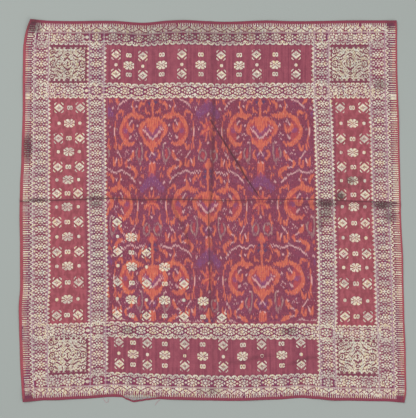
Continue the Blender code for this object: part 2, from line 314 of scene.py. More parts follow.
def stain_and_fold_shade_at(x, y):
    stain_and_shade = np.zeros(np.shape(x))
    for spot in STAINS:
        away = np.hypot((x - spot.x) / spot.reach_x, (y - spot.y) / spot.reach_y)
        stain_and_shade = np.maximum(stain_and_shade, spot.strength * ease(1.3 * (1.0 - away)))
    return stain_and_shade


def fold_shade_at(x, y):
    """From 0 on open cloth to 1 along the crest of a sharp fold."""
    shade = np.zeros(np.shape(x))
    for crests in FOLDS:
        away, height, half_width = near_fold(x, y, crests)
        shade = np.maximum(shade, ease(1.0 - away / (half_width * 0.8)) * np.clip(height / 3.6, 0.0, 1.0))
    return shade


# %% Painted shade along sharp creases
Crease = namedtuple("Crease", "places soft strength")
CREASES = [
    Crease([(-0.6, 205, 0.9), (18.4, 175.6, 1.5), (62.9, 105.2, 1.5), (83.4, 68.9, 1.3), (112.9, 25.8, 0.8)],
           1.6, 0.85),
    Crease([(8, 250, 2.6), (6, 140, 2.6), (3, 30, 1.6)], 3.0, 0.5),
    Crease([(3, 30, 1.0), (-4, 0, 1.0), (-5, -100, 1.0), (-3, -250, 0.7)], 1.8, 0.65),
    Crease([(-91, 17, 2.0), (-60, -50, 3.0), (-48, -90, 1.5)], 4.0, 0.4),
    Crease([(-435, 18, 1.2), (-237, 20.5, 0.9), (60, 20.5, 0.5), (237, 20.5, 1.2), (425, 15, 1.2)], 1.6, 0.7),
]


def crease_shade_at(x, y):
    """How dark the painted shade of the creases is at each place, from 0 to 1."""
    dark = np.zeros(np.shape(x))
    for crease in CREASES:
        for start, end in zip(crease.places, crease.places[1:]):
            share, away = near_line(x, y, start[0], start[1], end[0], end[1])
            away = away - start[2] - (end[2] - start[2]) * share
            dark = np.maximum(dark, crease.strength * ease(1.0 - away / crease.soft))
    return dark


# %% Making the sheet's mesh
def mesh_object(name, points, faces, attributes=(), slots=None):
    """A mesh in metres from points in millimetres, with float or vector attributes on its points."""
    data = bpy.data.meshes.new(name)
    faces = np.asarray(faces, np.int32)
    sides = faces.shape[1]
    data.vertices.add(len(points))
    data.vertices.foreach_set("co", (np.asarray(points, float) * MM).ravel())
    data.loops.add(faces.size)
    data.loops.foreach_set("vertex_index", faces.ravel())
    data.polygons.add(len(faces))
    data.polygons.foreach_set("loop_start", np.arange(0, faces.size, sides, dtype=np.int32))
    data.update(calc_edges=True)
    if slots is not None:
        data.polygons.foreach_set("material_index", slots.astype(np.int32))
    for label, values in attributes:
        values = np.asarray(values, np.float32)
        if values.ndim == 1:
            data.attributes.new(label, "FLOAT", "POINT").data.foreach_set("value", values)
        else:
            data.attributes.new(label, "FLOAT_VECTOR", "POINT").data.foreach_set("vector", values.ravel())
    data.validate()
    piece = bpy.data.objects.new(name, data)
    bpy.context.scene.collection.objects.link(piece)
    return piece


rows_count, columns_count = flat_x.shape
index = np.arange(rows_count * columns_count).reshape(rows_count, columns_count)
cell_torn = np.zeros((rows_count - 1, columns_count - 1), bool)
cell_torn[CORD_LINES - 1] = torn_columns[:-1] & torn_columns[1:]
low_left, low_right = index[:-1, :-1], index[:-1, 1:]
up_left, up_right = index[1:, :-1], index[1:, 1:]
kept = ~cell_torn
face_up = np.stack([low_left[kept], low_right[kept], up_right[kept], up_left[kept]], axis=1)
below = rows_count * columns_count
face_down = face_up[:, ::-1] + below
middle_x = (flat_x[:-1, :-1] + flat_x[1:, 1:]) / 2.0
middle_y = (flat_y[:-1, :-1] + flat_y[1:, 1:]) / 2.0
in_field = (np.abs(middle_x) < FIELD_X) & (middle_y > FIELD_FOOT) & (middle_y < FIELD_TOP)

edges = np.concatenate([face_up[:, [0, 1]], face_up[:, [1, 2]], face_up[:, [2, 3]], face_up[:, [3, 0]]])
edge_key = np.sort(edges, axis=1) @ np.array([below, 1])
_, first, counts = np.unique(edge_key, return_index=True, return_counts=True)
rim = edges[first[counts == 1]]
face_rim = np.stack([rim[:, 1], rim[:, 0], rim[:, 0] + below, rim[:, 1] + below], axis=1)

points = np.concatenate([
    np.stack([table_x, table_y, over_z], axis=-1).reshape(-1, 3),
    np.stack([table_x, table_y, under_z], axis=-1).reshape(-1, 3),
])
face_side = np.where(np.arange(2 * below) < below, 1.0, -1.0)
flat_place = np.stack([np.tile(flat_x.ravel(), 2), np.tile(flat_y.ravel(), 2), face_side], axis=1)
moved_x, moved_y = drift(flat_place[:, 0], flat_place[:, 1])
woven_place = flat_place - np.stack([moved_x, moved_y, np.zeros(len(moved_x))], axis=1)
LIMAR_BEAT = [-252.0, -134.4, -5.2, 114.5, 266.0]
limar_place = flat_place.copy()
limar_place[:, 0] = np.interp(flat_place[:, 0], LIMAR_BEAT, [-278.6, -139.3, 0.0, 139.3, 278.6])
slots = np.concatenate([in_field[kept].astype(int), np.full(len(face_down), 2), np.zeros(len(face_rim), int)])
cloth = mesh_object(
    "songket_sheet",
    points,
    np.concatenate([face_up, face_down, face_rim]),
    [("flat_place", flat_place), ("woven_place", woven_place), ("limar_place", limar_place),
     ("stain_and_shade", stain_and_fold_shade_at(flat_place[:, 0], flat_place[:, 1])),
     ("fold_shade", fold_shade_at(flat_place[:, 0], flat_place[:, 1]))],
    slots,
)
for face in cloth.data.polygons:
    face.use_smooth = True
print("sheet:", len(cloth.data.polygons) * 2, "triangles")

# %% [markdown]
# ## The gold pattern
# A songket weaver lifts warps by counted rules, so the pattern is a chart of small cells. Here a cell is
# one gold thread wide (1.42 mm) and a few wefts of float high (1.2 mm). The motifs are the traditional
# ones of this layout: eight-petalled flowers, saw teeth, ringed lozenges, split rosettes and dots.

# %% The chart and its cells
CELL_X = 1.42
CELL_Y = 1.2
COLUMNS = 611
ROWS = 717
cell_x = (np.arange(COLUMNS) - (COLUMNS - 1) / 2) * CELL_X
cell_y = (np.arange(ROWS) - (ROWS - 1) / 2) * CELL_Y
at_x, at_y = np.meshgrid(cell_x, cell_y)
gold = np.zeros(at_x.shape, bool)


def chart(*rows):
    """A small chart, with its first row uppermost, as truth values."""
    return np.array([[mark == "#" for mark in row] for row in rows])[::-1]


def mirrored(quarter):
    """The whole motif from its upper right quarter, with the middle row and column shared."""
    half = np.concatenate([quarter[:, :0:-1], quarter], axis=1)
    return np.concatenate([half[:0:-1], half], axis=0)


def stamp(motif, x, y):
    """Sets a motif into the chart with its middle at a place on the flat cloth."""
    high, wide = motif.shape
    column = round((x - cell_x[0]) / CELL_X - (wide - 1) / 2)
    row = round((y - cell_y[0]) / CELL_Y - (high - 1) / 2)
    target = gold[max(row, 0):row + high, max(column, 0):column + wide]
    first_row, first_column = max(-row, 0), max(-column, 0)
    target |= motif[first_row:first_row + target.shape[0], first_column:first_column + target.shape[1]]


# Quarter charts: the upper right quarter, its first column and last row being the middle ones
FLOWER_WIDE = mirrored(chart(
    "..##.....",
    ".####....",
    ".###..##.",
    "#.##.####",
    "##..#####",
    "###.####.",
    "######...",
))
FLOWER_HIGH = mirrored(chart(
    "..#.....",
    ".###....",
    ".####.#.",
    ".###.###",
    "#.##.###",
    "##..####",
    "###.###.",
    "####....",
))
LOZENGE = mirrored(chart(
    "....##..",
    "....###.",
    "#....###",
    "##....##",
    "###...##",
    "####...#",
    "#####...",
    "######..",
    ".######.",
    "#.######",
    "##.#####",
))
ROSETTE = mirrored(chart(
    "..###....",
    ".#####...",
    ".######..",
    ".#####.##",
    "#####.###",
    "####.####",
    "##.######",
    "#.#######",
    "####.....",
))
DOUBLE_DOT = mirrored(chart(
    ".###.",
    ".####",
    "#####",
    "##.##",
    "##.##",
))
DOT = mirrored(chart(
    "##.",
    "###",
    "###",
    "###",
))
DIAMOND = mirrored(chart(
    "#..",
    "##.",
    "###",
))
SPECK = mirrored(chart(
    "#.",
    "##",
))

# %% [markdown]
# The border strips cross in cells that hold one flower each, and two saw teeth go with every flower. The
# beat is not even, so the cells are not all as wide. The marks are the dark places between two flowers.

# %% Marks between the flowers
MARKS_X = [-430.0, -404.0, -377.0, -362.0, -338.5, -315.0, -290.8, -278.0, -244.0, -237.0, -209.0, -179.2,
           -147.4, -119.4, -91.5, -61.7, -32.0, -2.2, 27.5, 55.8, 84.2, 113.1, 141.9, 170.9, 199.8, 228.7,
           245.2, 278.6, 294.3, 316.6, 339.2, 362.3, 377.6, 403.5, 430.0]
MARKS_Y = [-421.0, -405.0, -386.5, -363.4, -344.1, -324.9, -305.7, -289.0, -269.0, -252.5, -233.5, -214.5,
           -195.5, -176.5, -156.5, -136.5, -116.8, -97.0, -76.8, -56.5, -36.3, -16.0, 2.3, 20.5, 39.7, 58.8,
           78.1, 97.3, 116.8, 136.2, 155.3, 174.3, 194.0, 213.6, 233.2, 252.8, 264.0, 282.4, 303.7, 324.1,
           344.4, 364.8, 387.0, 407.0, 425.0]
STRIP_X = [-390.5, -261.0, 262.0, 390.0]
STRIP_Y = [-396.0, -279.5, 272.7, 397.0]
STRIP_HALF_HIGH = 18.4
OUTER_STRIPS_FROM = 350.0
COMBS_FROM = 405.5
THIN_LINE_OUT = 17.0
THIN_LINE_HALF = 0.72


def cell_of(marks, along):
    """How far each place is from its cell's middle, and half the cell's width."""
    marks = np.array(marks)
    number = np.clip(np.searchsorted(marks, along) - 1, 0, len(marks) - 2)
    low, high = marks[number], marks[number + 1]
    return along - (low + high) / 2.0, (high - low) / 2.0


def near_box(middle_x, middle_y, half_x, half_y):
    return (np.abs(at_x - middle_x) < half_x) & (np.abs(at_y - middle_y) < half_y)


along_x, half_x = cell_of(MARKS_X, at_x)
along_y, half_y = cell_of(MARKS_Y, at_y)
mark_x, mark_y = half_x - np.abs(along_x), half_y - np.abs(along_y)
tooth_x = np.abs(np.abs(along_x) - half_x / 2.0) / (half_x / 2.0)
tooth_y = np.abs(np.abs(along_y) - half_y / 2.0) / (half_y / 2.0)
on_level = (at_y < STRIP_Y[0] + STRIP_HALF_HIGH) | (at_y > STRIP_Y[-1] - STRIP_HALF_HIGH)
for y in STRIP_Y[1:-1]:
    on_level |= np.abs(at_y - y) < STRIP_HALF_HIGH
between_combs = np.abs(at_x) < COMBS_FROM

# %% [markdown]
# A level strip has a thick gold edge on each side, with a seed in every tooth and a half diamond between
# the flowers. An upright strip has a mauve stripe there instead, with small diamonds on it and thin teeth
# outside it. The outer strips have only the inner one of these edges.

# %% Edges of the strips
for y in STRIP_Y:
    for side in (-1, 1):
        if abs(y) > OUTER_STRIPS_FROM and side * y > 0.0:
            continue
        away = (at_y - y) * side
        bulge = (away > 5.8) & (away < 10.4) & (mark_x < (away - 5.6) * 1.6)
        edge = (away >= 10.4) & (away < 13.4)
        teeth = (away >= 13.0) & (away < 13.8 + 4.8 * np.sqrt(np.maximum(0.0, 1.0 - (tooth_x * 1.1) ** 2)))
        seed = np.hypot((away - 12.8) / 1.5, tooth_x * half_x / 3.4) < 1.0
        seed |= np.abs(tooth_x * half_x / 2.0 - 4.0) + np.abs(away - 11.8) < 1.3
        gold |= (bulge | edge | teeth) & ~seed & between_combs
for x in STRIP_X:
    for side in (-1, 1):
        if abs(x) > OUTER_STRIPS_FROM and side * x > 0.0:
            continue
        away = (at_x - x) * side
        teeth = (away > 17.4) & (away < 18.8 + 5.2 * (1.0 - tooth_y))
        teeth &= ~((away < 19.0) & (tooth_y > 0.72))
        gold |= teeth & ~on_level
    for side in (-1, 1):
        away = (at_x - x) * side
        gold |= ((np.abs(away - 13.4) / 3.4 + mark_y / 3.2) < 1.0) & ~on_level
        gold |= (np.abs(away - 14.2) < 1.5) & (np.abs(along_y) < 1.9) & ~on_level
        gold |= ((np.abs(away - 7.4) / 3.0 + mark_y / 2.0) < 1.0) & ~on_level

# %% The strips' flowers, with small diamonds between them
for x in STRIP_X:
    for low, high in zip(MARKS_Y[1:-1], MARKS_Y[2:-1]):
        middle = (low + high) / 2.0
        if high - low > 13.0 and min(abs(middle - y) for y in STRIP_Y) > 6.0:
            stamp(FLOWER_WIDE, x, middle)
        stamp(SPECK, x, high)
for y in STRIP_Y:
    for low, high in zip(MARKS_X[1:-1], MARKS_X[2:-1]):
        if high - low > 9.0:
            stamp(FLOWER_HIGH if high - low > 14.0 else DOT, (low + high) / 2.0, y)
        stamp(DIAMOND, high, y)
for x in STRIP_X:
    for side in (-1, 1):
        gold[(np.abs(at_x - x - side * THIN_LINE_OUT) < THIN_LINE_HALF) & on_level] = False

# %% [markdown]
# Outside the outer flowers, the left and right strips end in wedges and a comb of short bars, and the
# upper and lower ones in a row of peaks with thin points beyond them.

# %% Combs and peaks
PEAK_LINE_UP = 408.0
PEAK_LINE_DOWN = -407.0
PEAKS_REACH = 411.0
COMB_PAST_PEAKS = 14.0
COMB_OUT = 22.0
COMB_BAR_HALF = 1.4
for side, wedge_from in ((-1, 406.5), (1, 408.5)):
    out = at_x * side - wedge_from
    upright = (at_y > PEAK_LINE_DOWN - COMB_PAST_PEAKS) & (at_y < PEAK_LINE_UP + COMB_PAST_PEAKS)
    wedge = (out > 0.0) & (out < 9.0 * (1.0 - tooth_y * 0.85)) & ~((out < 3.0) & (tooth_y < 0.2))
    bar_middle = np.abs(np.abs(tooth_y - 0.5) - 0.5) * half_y / 2.0
    bars = (out > 6.0 + 3.8 * (tooth_y < 0.5)) & (out < COMB_OUT) & (bar_middle < COMB_BAR_HALF)
    gold |= upright & (wedge | bars)
for line, side in ((PEAK_LINE_UP, 1), (PEAK_LINE_DOWN, -1)):
    high = (at_y - line) * side
    level = np.abs(at_x) < PEAKS_REACH
    crest = 10.8 - 8.0 * np.minimum(1.0, np.abs(along_x) / np.maximum(half_x * 0.92, 1.0))
    seed = (np.hypot(along_x / 1.3, (high - 2.8) / 1.1) < 1.0)
    seed |= np.hypot((np.abs(along_x) - half_x * 0.7) / 1.3, (high - 2.4) / 1.0) < 1.0
    peak = (high > 0.9) & (high < crest - 0.8) & ~seed
    dark_points = np.abs(mark_x - 3.2) + np.abs(high - 9.0) < 1.6
    hanging = (high > crest + 0.8) & (high < 11.4) & ~dark_points
    points = (high >= 11.6) & (high < 19.0) & (tooth_x * half_x / 2.0 < 2.4 * (19.4 - high) / 7.5)
    points |= (high >= 11.2) & (high < 13.0) & (tooth_x < 0.8)
    points |= (high >= 13.0) & (high < 21.4) & (np.arange(COLUMNS) % 3 == 0)
    thin = (high > 12.6) & (high < 18.0) & ((mark_x < 0.8) | (np.abs(along_x) < 0.8))
    border = (high > -1.9) & (high < -0.3)
    gold |= level & (peak | hanging | points | thin | border)

# %% [markdown]
# ## The corner squares
# Each is woven almost solid: two split fans above and below, an oval with a lozenge in the middle, and
# curled leaves round them. The dark lines are where the silk is left to show, and single warps here and
# there tie the long floats down, except within the fans.

# %% Corner squares
SQUARE_X = [-328.9, 327.8]
SQUARE_Y = [-334.4, 334.4]
SQUARE_HALF_X = 41.9
SQUARE_HALF_Y = 39.4


def stroke_away(x, y, stroke):
    """How far places are outside a straight stroke, given by its two ends and half width."""
    x1, y1, x2, y2, wide = stroke
    _, away = near_line(x, y, x1, y1, x2, y2)
    return away - wide


def ring_away(x, y, middle_x, middle_y, reach, wide):
    return np.abs(np.hypot(x - middle_x, y - middle_y) - reach) - wide


GROOVES = [
    (13.7, 21.8, 23.1, 15.2, 1.2), (31.4, 19.3, 40.4, 14.2, 1.1), (22.0, 29.5, 27.5, 27.0, 1.0),
    (26.8, 24.5, 30.5, 25.8, 0.9), (0.0, 15.2, 5.0, 10.8, 1.1), (7.0, 8.6, 7.8, 7.6, 1.2),
    (12.6, 3.0, 13.2, 0.0, 1.0), (16.6, 11.6, 24.5, 9.0, 0.9), (23.1, 15.2, 29.0, 17.4, 0.6),
    (0.0, 2.0, 0.0, 4.4, 1.3), (7.0, 0.0, 7.6, 0.0, 1.1), (10.6, 29.6, 12.2, 25.0, 0.9),
]
LOWER_GROOVES = [(8.0, 7.2, 6.0, 9.0, 1.2), (4.0, 9.5, 0.0, 13.0, 1.2)]
RINGS = [(34.0, 2.0, 5.6, 0.9), (36.0, 29.0, 5.3, 0.9)]
FAN_SIDE = 21.0
FAN_FOOT = 23.0
GROOVE_DOTS = [(25.3, 4.3, 1.5), (29.0, 8.7, 1.2), (36.0, 7.2, 1.1), (30.4, 8.0, 1.1), (38.4, 0.0, 1.1),
               (34.0, 2.0, 1.6), (36.0, 29.0, 1.6), (18.4, 3.6, 1.0), (20.0, 34.0, 1.0)]
column, row = np.arange(COLUMNS), np.arange(ROWS)[:, None]
tied_down = (7 * column + 13 * row + (column * row) % 5) % 11 == 0
for square_x in SQUARE_X:
    for square_y in SQUARE_Y:
        box = near_box(square_x, square_y, SQUARE_HALF_X, SQUARE_HALF_Y)
        up = at_y - square_y
        x, y = np.abs(at_x - square_x), np.abs(up)
        dark = np.zeros(at_x.shape, bool)
        for groove in GROOVES:
            dark |= stroke_away(x, y, groove) < 0.0
        for groove in LOWER_GROOVES:
            dark |= (stroke_away(x, y, groove) < 0.0) & (up < 0.0)
        for dot_x, dot_y, wide in GROOVE_DOTS:
            dark |= np.hypot(x - dot_x, y - dot_y) < wide
        for middle_x, middle_y, reach, wide in RINGS:
            dark |= ring_away(x, y, middle_x, middle_y, reach, wide) < 0.0
        dark |= (up > 0.0) & (np.abs(x / 4.2 + np.abs(y - 22.0) / 3.6 - 1.0) < 0.32)
        dark |= (up > 0.0) & (np.hypot(x, y - 31.0) < 1.5)
        dark |= (up < 0.0) & (np.abs(x / 5.2 + np.abs(y - 21.8) / 3.4 - 1.0) < 0.30)
        dark |= (up < 0.0) & (x < 2.9) & ((np.abs(y - 29.5) < 1.0) | (np.abs(y - 34.0) < 1.0))
        dark |= np.abs((x + 3.0) % 11.0 - 5.5) / 4.6 + np.abs(y - 37.4) / 2.8 < 1.0
        tied = tied_down & ((x > FAN_SIDE) | (y < FAN_FOOT))
        gold[box] = ~(dark | tied)[box]

# %% [markdown]
# ## Motifs scattered in the panels and over the middle
# In the upper and lower panels columns of lozenges take turns with columns of a rosette between double
# dots. In the side panels the rows do the same. The middle has gold only in its lower left part, as on
# the real cloth, where the rows grow longer towards the foot.

# %% Panel motifs
def set_down(motif, x, y):
    """Stamps a motif so that it lies at this place once the pattern has drifted."""
    moved_x, moved_y = drift(np.array([x]), np.array([y]))
    stamp(motif, x - moved_x[0], y - moved_y[0])


UPPER_COLUMNS = [-218.5, -188.5, -156.6, -112.7, -65.5, -21.3, 26.1, 67.5, 108.4, 151.7, 199.8]
LOWER_COLUMNS = [-211.2, -179.0, -146.7, -107.5, -63.3, -22.7, 23.5, 68.2, 111.0, 155.4, 199.7]
LEFT_ROWS = [233.0, 196.8, 161.8, 130.3, 96.5, 66.5, 34.5, 3.4, -31.3, -64.6, -99.2, -132.6, -168.9, -208.2,
             -244.2]
RIGHT_ROWS = [232.3, 196.9, 160.9, 129.6, 95.8, 64.3, 32.9, 4.5, -32.8, -66.2, -101.5, -134.3, -170.3, -208.9,
              -244.5]
LEVEL_PANELS = ((UPPER_COLUMNS, 356.5, 332.1, 311.1), (LOWER_COLUMNS, -309.0, -335.3, -358.8))
UPRIGHT_PANELS = ((LEFT_ROWS, -350.6, -326.2, -301.5), (RIGHT_ROWS, 300.8, 327.4, 353.4))
for columns, high, middle, low in LEVEL_PANELS:
    for number, x in enumerate(columns):
        lozenges = number % 2 == 0
        set_down(LOZENGE if lozenges else DOUBLE_DOT, x, high)
        set_down(DOT if lozenges else ROSETTE, x, middle)
        set_down(LOZENGE if lozenges else DOUBLE_DOT, x, low)
for rows, left, middle, right in UPRIGHT_PANELS:
    for number, y in enumerate(rows):
        lozenges = number % 2 == 0
        set_down(LOZENGE if lozenges else DOT, left, y)
        set_down(DOUBLE_DOT if lozenges else ROSETTE, middle, y)
        set_down(LOZENGE if lozenges else DOT, right, y)

# %% Motifs on the middle
MIDDLE_COLUMNS = [-213.0, -181.2, -147.6, -106.8, -63.1, -19.5, 23.4]
FieldRow = namedtuple("FieldRow", "y motifs")
FIELD_ROWS = [
    FieldRow(-33.9, [LOZENGE]),
    FieldRow(-67.6, [DOT, ROSETTE]),
    FieldRow(-102.0, [LOZENGE, DOUBLE_DOT, LOZENGE]),
    FieldRow(-134.3, [DOT, ROSETTE, DOT, ROSETTE]),
    FieldRow(-172.2, [LOZENGE, DOUBLE_DOT, LOZENGE, DOUBLE_DOT, LOZENGE]),
    FieldRow(-210.1, [DOT, ROSETTE, DOT, ROSETTE, DOT, ROSETTE]),
    FieldRow(-246.5, [LOZENGE, DOUBLE_DOT, LOZENGE, DOUBLE_DOT, LOZENGE, DOUBLE_DOT, LOZENGE]),
]
for row in FIELD_ROWS:
    for x, motif in zip(MIDDLE_COLUMNS, row.motifs):
        set_down(motif, x, row.y)
print("cells of gold:", int(gold.sum()), "of", gold.size)

# %% [markdown]
# ## The gold floats
# Each unbroken run of cells along Y is one float of thread: a low pillow that dips into the silk at both
# ends. Long runs are tied down on the way, as a weaver does so they don't catch. A few floats are worn
# through, more of them where the cloth is stained.

# %% Runs of cells become floats
Float = namedtuple("Float", "column start end")
LONGEST_FLOAT = 7
FLOAT_RISE = 0.30
FLOAT_GAP = 0.06
WORN_SHARE = 0.012
WORN_SHARE_STAINED = 0.20
chance = np.random.default_rng(7)


def float_table(pattern):
    """Column, first row and row past the last of every float."""
    padded = np.concatenate([np.zeros((1, COLUMNS), bool), pattern, np.zeros((1, COLUMNS), bool)])
    change = np.diff(padded.astype(int), axis=0)
    starts = np.argwhere(change.T == 1)
    ends = np.argwhere(change.T == -1)
    table = []
    for (column, start), (_, end) in zip(starts, ends):
        count = -(-(end - start) // LONGEST_FLOAT)
        marks = np.linspace(start, end, count + 1).round().astype(int)
        table += [Float(column, a, b) for a, b in zip(marks, marks[1:])]
    return np.array(table)


floats = float_table(gold)
float_x = cell_x[floats[:, 0]]
float_y = (cell_y[floats[:, 1]] + cell_y[floats[:, 2] - 1]) / 2.0
moved_x, moved_y = drift(float_x, float_y)
lies_x, lies_y = float_x + moved_x, float_y + moved_y
# A float's darkening: its stain or the painted shade of a crease, whichever is darker.
float_stain_and_shade = np.maximum(stain_and_fold_shade_at(lies_x, lies_y), crease_shade_at(lies_x, lies_y))
worn = chance.random(len(floats)) < WORN_SHARE + WORN_SHARE_STAINED * float_stain_and_shade ** 2
floats, float_x, float_y, float_stain_and_shade = (values[~worn] for values in (floats, float_x, float_y, float_stain_and_shade))
print("floats:", len(floats), "worn away:", int(worn.sum()))


# %% A float's shape, laid on the sheet
def on_sheet(x, y):
    """The sheet's own point above any place on the flat cloth, between its grid's lines."""
    column = np.clip(np.searchsorted(line_x, x, side="right") - 1, 0, len(line_x) - 2)
    row = np.clip(np.searchsorted(line_y, y, side="right") - 1, 0, len(line_y) - 2)
    share_x = np.clip((x - line_x[column]) / (line_x[column + 1] - line_x[column]), 0.0, 1.0)
    share_y = np.clip((y - line_y[row]) / (line_y[row + 1] - line_y[row]), 0.0, 1.0)
    found = []
    for grid in (table_x, table_y, over_z):
        low = grid[row, column] * (1 - share_x) + grid[row, column + 1] * share_x
        high = grid[row + 1, column] * (1 - share_x) + grid[row + 1, column + 1] * share_x
        found.append(low * (1 - share_y) + high * share_y)
    return np.stack(found, axis=-1)


# A float's points: across, along and up, as shares of its width, length and rise
FLOAT_POINTS = np.array([
    (-1.0, -1.0, -0.4), (1.0, -1.0, -0.4), (-1.0, 1.0, -0.4), (1.0, 1.0, -0.4),
    (-0.7, -0.5, 1.0), (0.7, -0.5, 1.0), (-0.7, 0.5, 1.0), (0.7, 0.5, 1.0),
])
FLOAT_FACES = np.array([(0, 2, 3, 1), (4, 5, 7, 6), (0, 1, 5, 4), (1, 3, 7, 5), (3, 2, 6, 7), (2, 0, 4, 6)])
half_wide = CELL_X / 2.0 - FLOAT_GAP
half_long = (floats[:, 2] - floats[:, 1]) * CELL_Y / 2.0 - FLOAT_GAP
wander = chance.normal(0.0, 0.10, (len(floats), 2))
rise = FLOAT_RISE * (0.85 + 0.3 * chance.random(len(floats)))
corner_x = float_x[:, None] + wander[:, :1] + FLOAT_POINTS[:, 0] * half_wide
inset = np.where(np.abs(FLOAT_POINTS[:, 1]) > 0.9, 1.0, 0.0)
shoulder = np.maximum(half_long - 0.9, half_long * 0.35)[:, None]
reach = np.where(inset > 0, half_long[:, None], shoulder)
corner_y = float_y[:, None] + wander[:, 1:] + np.sign(FLOAT_POINTS[:, 1]) * reach
moved_x, moved_y = drift(corner_x, corner_y)
float_points = on_sheet(corner_x + moved_x, corner_y + moved_y)
float_points[..., 2] += FLOAT_POINTS[:, 2] * rise[:, None]
float_tone = chance.random(len(floats))
slow_wave = np.sin(float_x * 0.071 + 2.0 * np.sin(float_y * 0.043))
patch = 0.5 + 0.25 * slow_wave + 0.25 * np.sin(float_y * 0.083 + 1.7)
for x in SQUARE_X:
    for y in SQUARE_Y:
        in_square = (np.abs(float_x - x) < SQUARE_HALF_X) & (np.abs(float_y - y) < SQUARE_HALF_Y)
        patch = np.where(in_square, 0.35 + 0.35 * patch, patch)
PIECES = 4
gold_pieces = []
order = np.argsort(float_y, kind="stable")
for number, part in enumerate(np.array_split(order, PIECES)):
    faces = (np.arange(len(part)) * 8)[:, None, None] + FLOAT_FACES
    piece = mesh_object(
        f"gold_floats_{number + 1}",
        float_points[part].reshape(-1, 3),
        faces.reshape(-1, 4),
        [("stain_and_shade", np.repeat(float_stain_and_shade[part], 8)), ("tone", np.repeat(float_tone[part], 8)),
         ("patch", np.repeat(patch[part], 8))],
    )
    gold_pieces.append(piece)
    print(piece.name, len(piece.data.polygons) * 2, "triangles")

# %% [markdown]
# ## Colours and shader arithmetic
# Colours are named as they look in daylight. A small class lets a material's patterns be written as plain
# expressions.

# %% Colours
def daylight(code):
    """A colour written as six hex digits, as a shader takes it."""
    parts = [int(code[i:i + 2], 16) / 255.0 for i in (0, 2, 4)]
    return tuple(p / 12.92 if p <= 0.04045 else ((p + 0.055) / 1.055) ** 2.4 for p in parts) + (1.0,)


# %% A class for shader values
class Value:
    """A shader value that Python's own operators work on."""

    def __init__(self, tree, socket):
        self.tree, self.socket = tree, socket

    def make(self, kind, settings=None, inputs=None, output=0):
        """Adds any node: its type, its settings, and its inputs by name or number."""
        node = self.tree.nodes.new(kind)
        for key, value in (settings or {}).items():
            setattr(node, key, value)
        for key, value in (inputs or {}).items():
            if isinstance(value, Value):
                self.tree.links.new(value.socket, node.inputs[key])
            else:
                node.inputs[key].default_value = value
        return Value(self.tree, node.outputs[output])

    def math(self, operation, *values):
        return self.make("ShaderNodeMath", {"operation": operation}, dict(enumerate(values)))

    def vector(self, operation, *values, output=0):
        return self.make("ShaderNodeVectorMath", {"operation": operation}, dict(enumerate(values)), output)

    def scaled(self, vector):
        """A vector or colour made this many times as large."""
        return self.make("ShaderNodeVectorMath", {"operation": "SCALE"}, {"Vector": vector, "Scale": self})

    def __add__(self, other):
        return self.math("ADD", self, other)

    def __radd__(self, other):
        return self.math("ADD", other, self)

    def __sub__(self, other):
        return self.math("SUBTRACT", self, other)

    def __rsub__(self, other):
        return self.math("SUBTRACT", other, self)

    def __mul__(self, other):
        return self.math("MULTIPLY", self, other)

    def __rmul__(self, other):
        return self.math("MULTIPLY", other, self)

    def __truediv__(self, other):
        return self.math("DIVIDE", self, other)

    def __rtruediv__(self, other):
        return self.math("DIVIDE", other, self)

    def __mod__(self, other):
        return self.math("FLOORED_MODULO", self, other)

    def __pow__(self, other):
        return self.math("POWER", self, other)

    def __neg__(self):
        return self.math("MULTIPLY", self, -1.0)

    def __abs__(self):
        return self.math("ABSOLUTE", self)

    def least(self, other):
        return self.math("MINIMUM", self, other)

    def most(self, other):
        return self.math("MAXIMUM", self, other)

    def floor(self):
        return self.math("FLOOR", self)

    def clamp(self):
        return self.most(0.0).least(1.0)

    def step(self, low, high):
        """0 below low, 1 above high, and soft between. With low above high it falls instead."""
        if low > high:
            return 1.0 - self.step(high, low)
        inputs = {"Value": self, "From Min": low, "From Max": high, "To Min": 0.0, "To Max": 1.0}
        return self.make("ShaderNodeMapRange", {"interpolation_type": "SMOOTHSTEP", "clamp": False}, inputs)

    def wave(self, length):
        """From -1 to 1 and back over each length."""
        return self.math("SINE", self * (2.0 * math.pi / length))

    def pick(self, under, over):
        """Colour under where this is 0, and over where it is 1."""
        settings = {"data_type": "RGBA", "clamp_factor": True}
        return self.make("ShaderNodeMix", settings, {0: self, 6: under, 7: over}, 2)


class Finish:
    """One material, with the values that its patterns start from."""

    def __init__(self, name, **constants):
        self.material = bpy.data.materials.new(name)
        self.material.use_nodes = True
        tree = self.material.node_tree
        self.shader = next(n for n in tree.nodes if n.type == "BSDF_PRINCIPLED")
        self.tree = tree
        self.maker = Value(tree, None)
        for key, value in constants.items():
            self.shader.inputs[key.replace("_", " ")].default_value = value

    def attribute(self, name, output="Fac"):
        node = self.maker.make("ShaderNodeAttribute", {"attribute_name": name})
        return Value(self.tree, node.socket.node.outputs[output])

    def split(self, vector):
        node = self.maker.make("ShaderNodeSeparateXYZ", None, {0: vector}).socket.node
        return [Value(self.tree, out) for out in node.outputs]

    def join(self, x, y, z=0.0):
        return self.maker.make("ShaderNodeCombineXYZ", None, {0: x, 1: y, 2: z})

    def noise(self, at, scale, detail=2.0):
        inputs = {"Vector": at, "Scale": scale, "Detail": detail}
        return self.maker.make("ShaderNodeTexNoise", {"noise_dimensions": "2D"}, inputs)

    def chance(self, number):
        return self.maker.make("ShaderNodeTexWhiteNoise", {"noise_dimensions": "1D"}, {"W": number})

    def wear(self, **links):
        for key, value in links.items():
            self.tree.links.new(value.socket, self.shader.inputs[key.replace("_", " ")])

    def bump(self, height, distance, strength=1.0):
        inputs = {"Height": height, "Distance": distance, "Strength": strength}
        self.wear(Normal=self.maker.make("ShaderNodeBump", None, inputs))
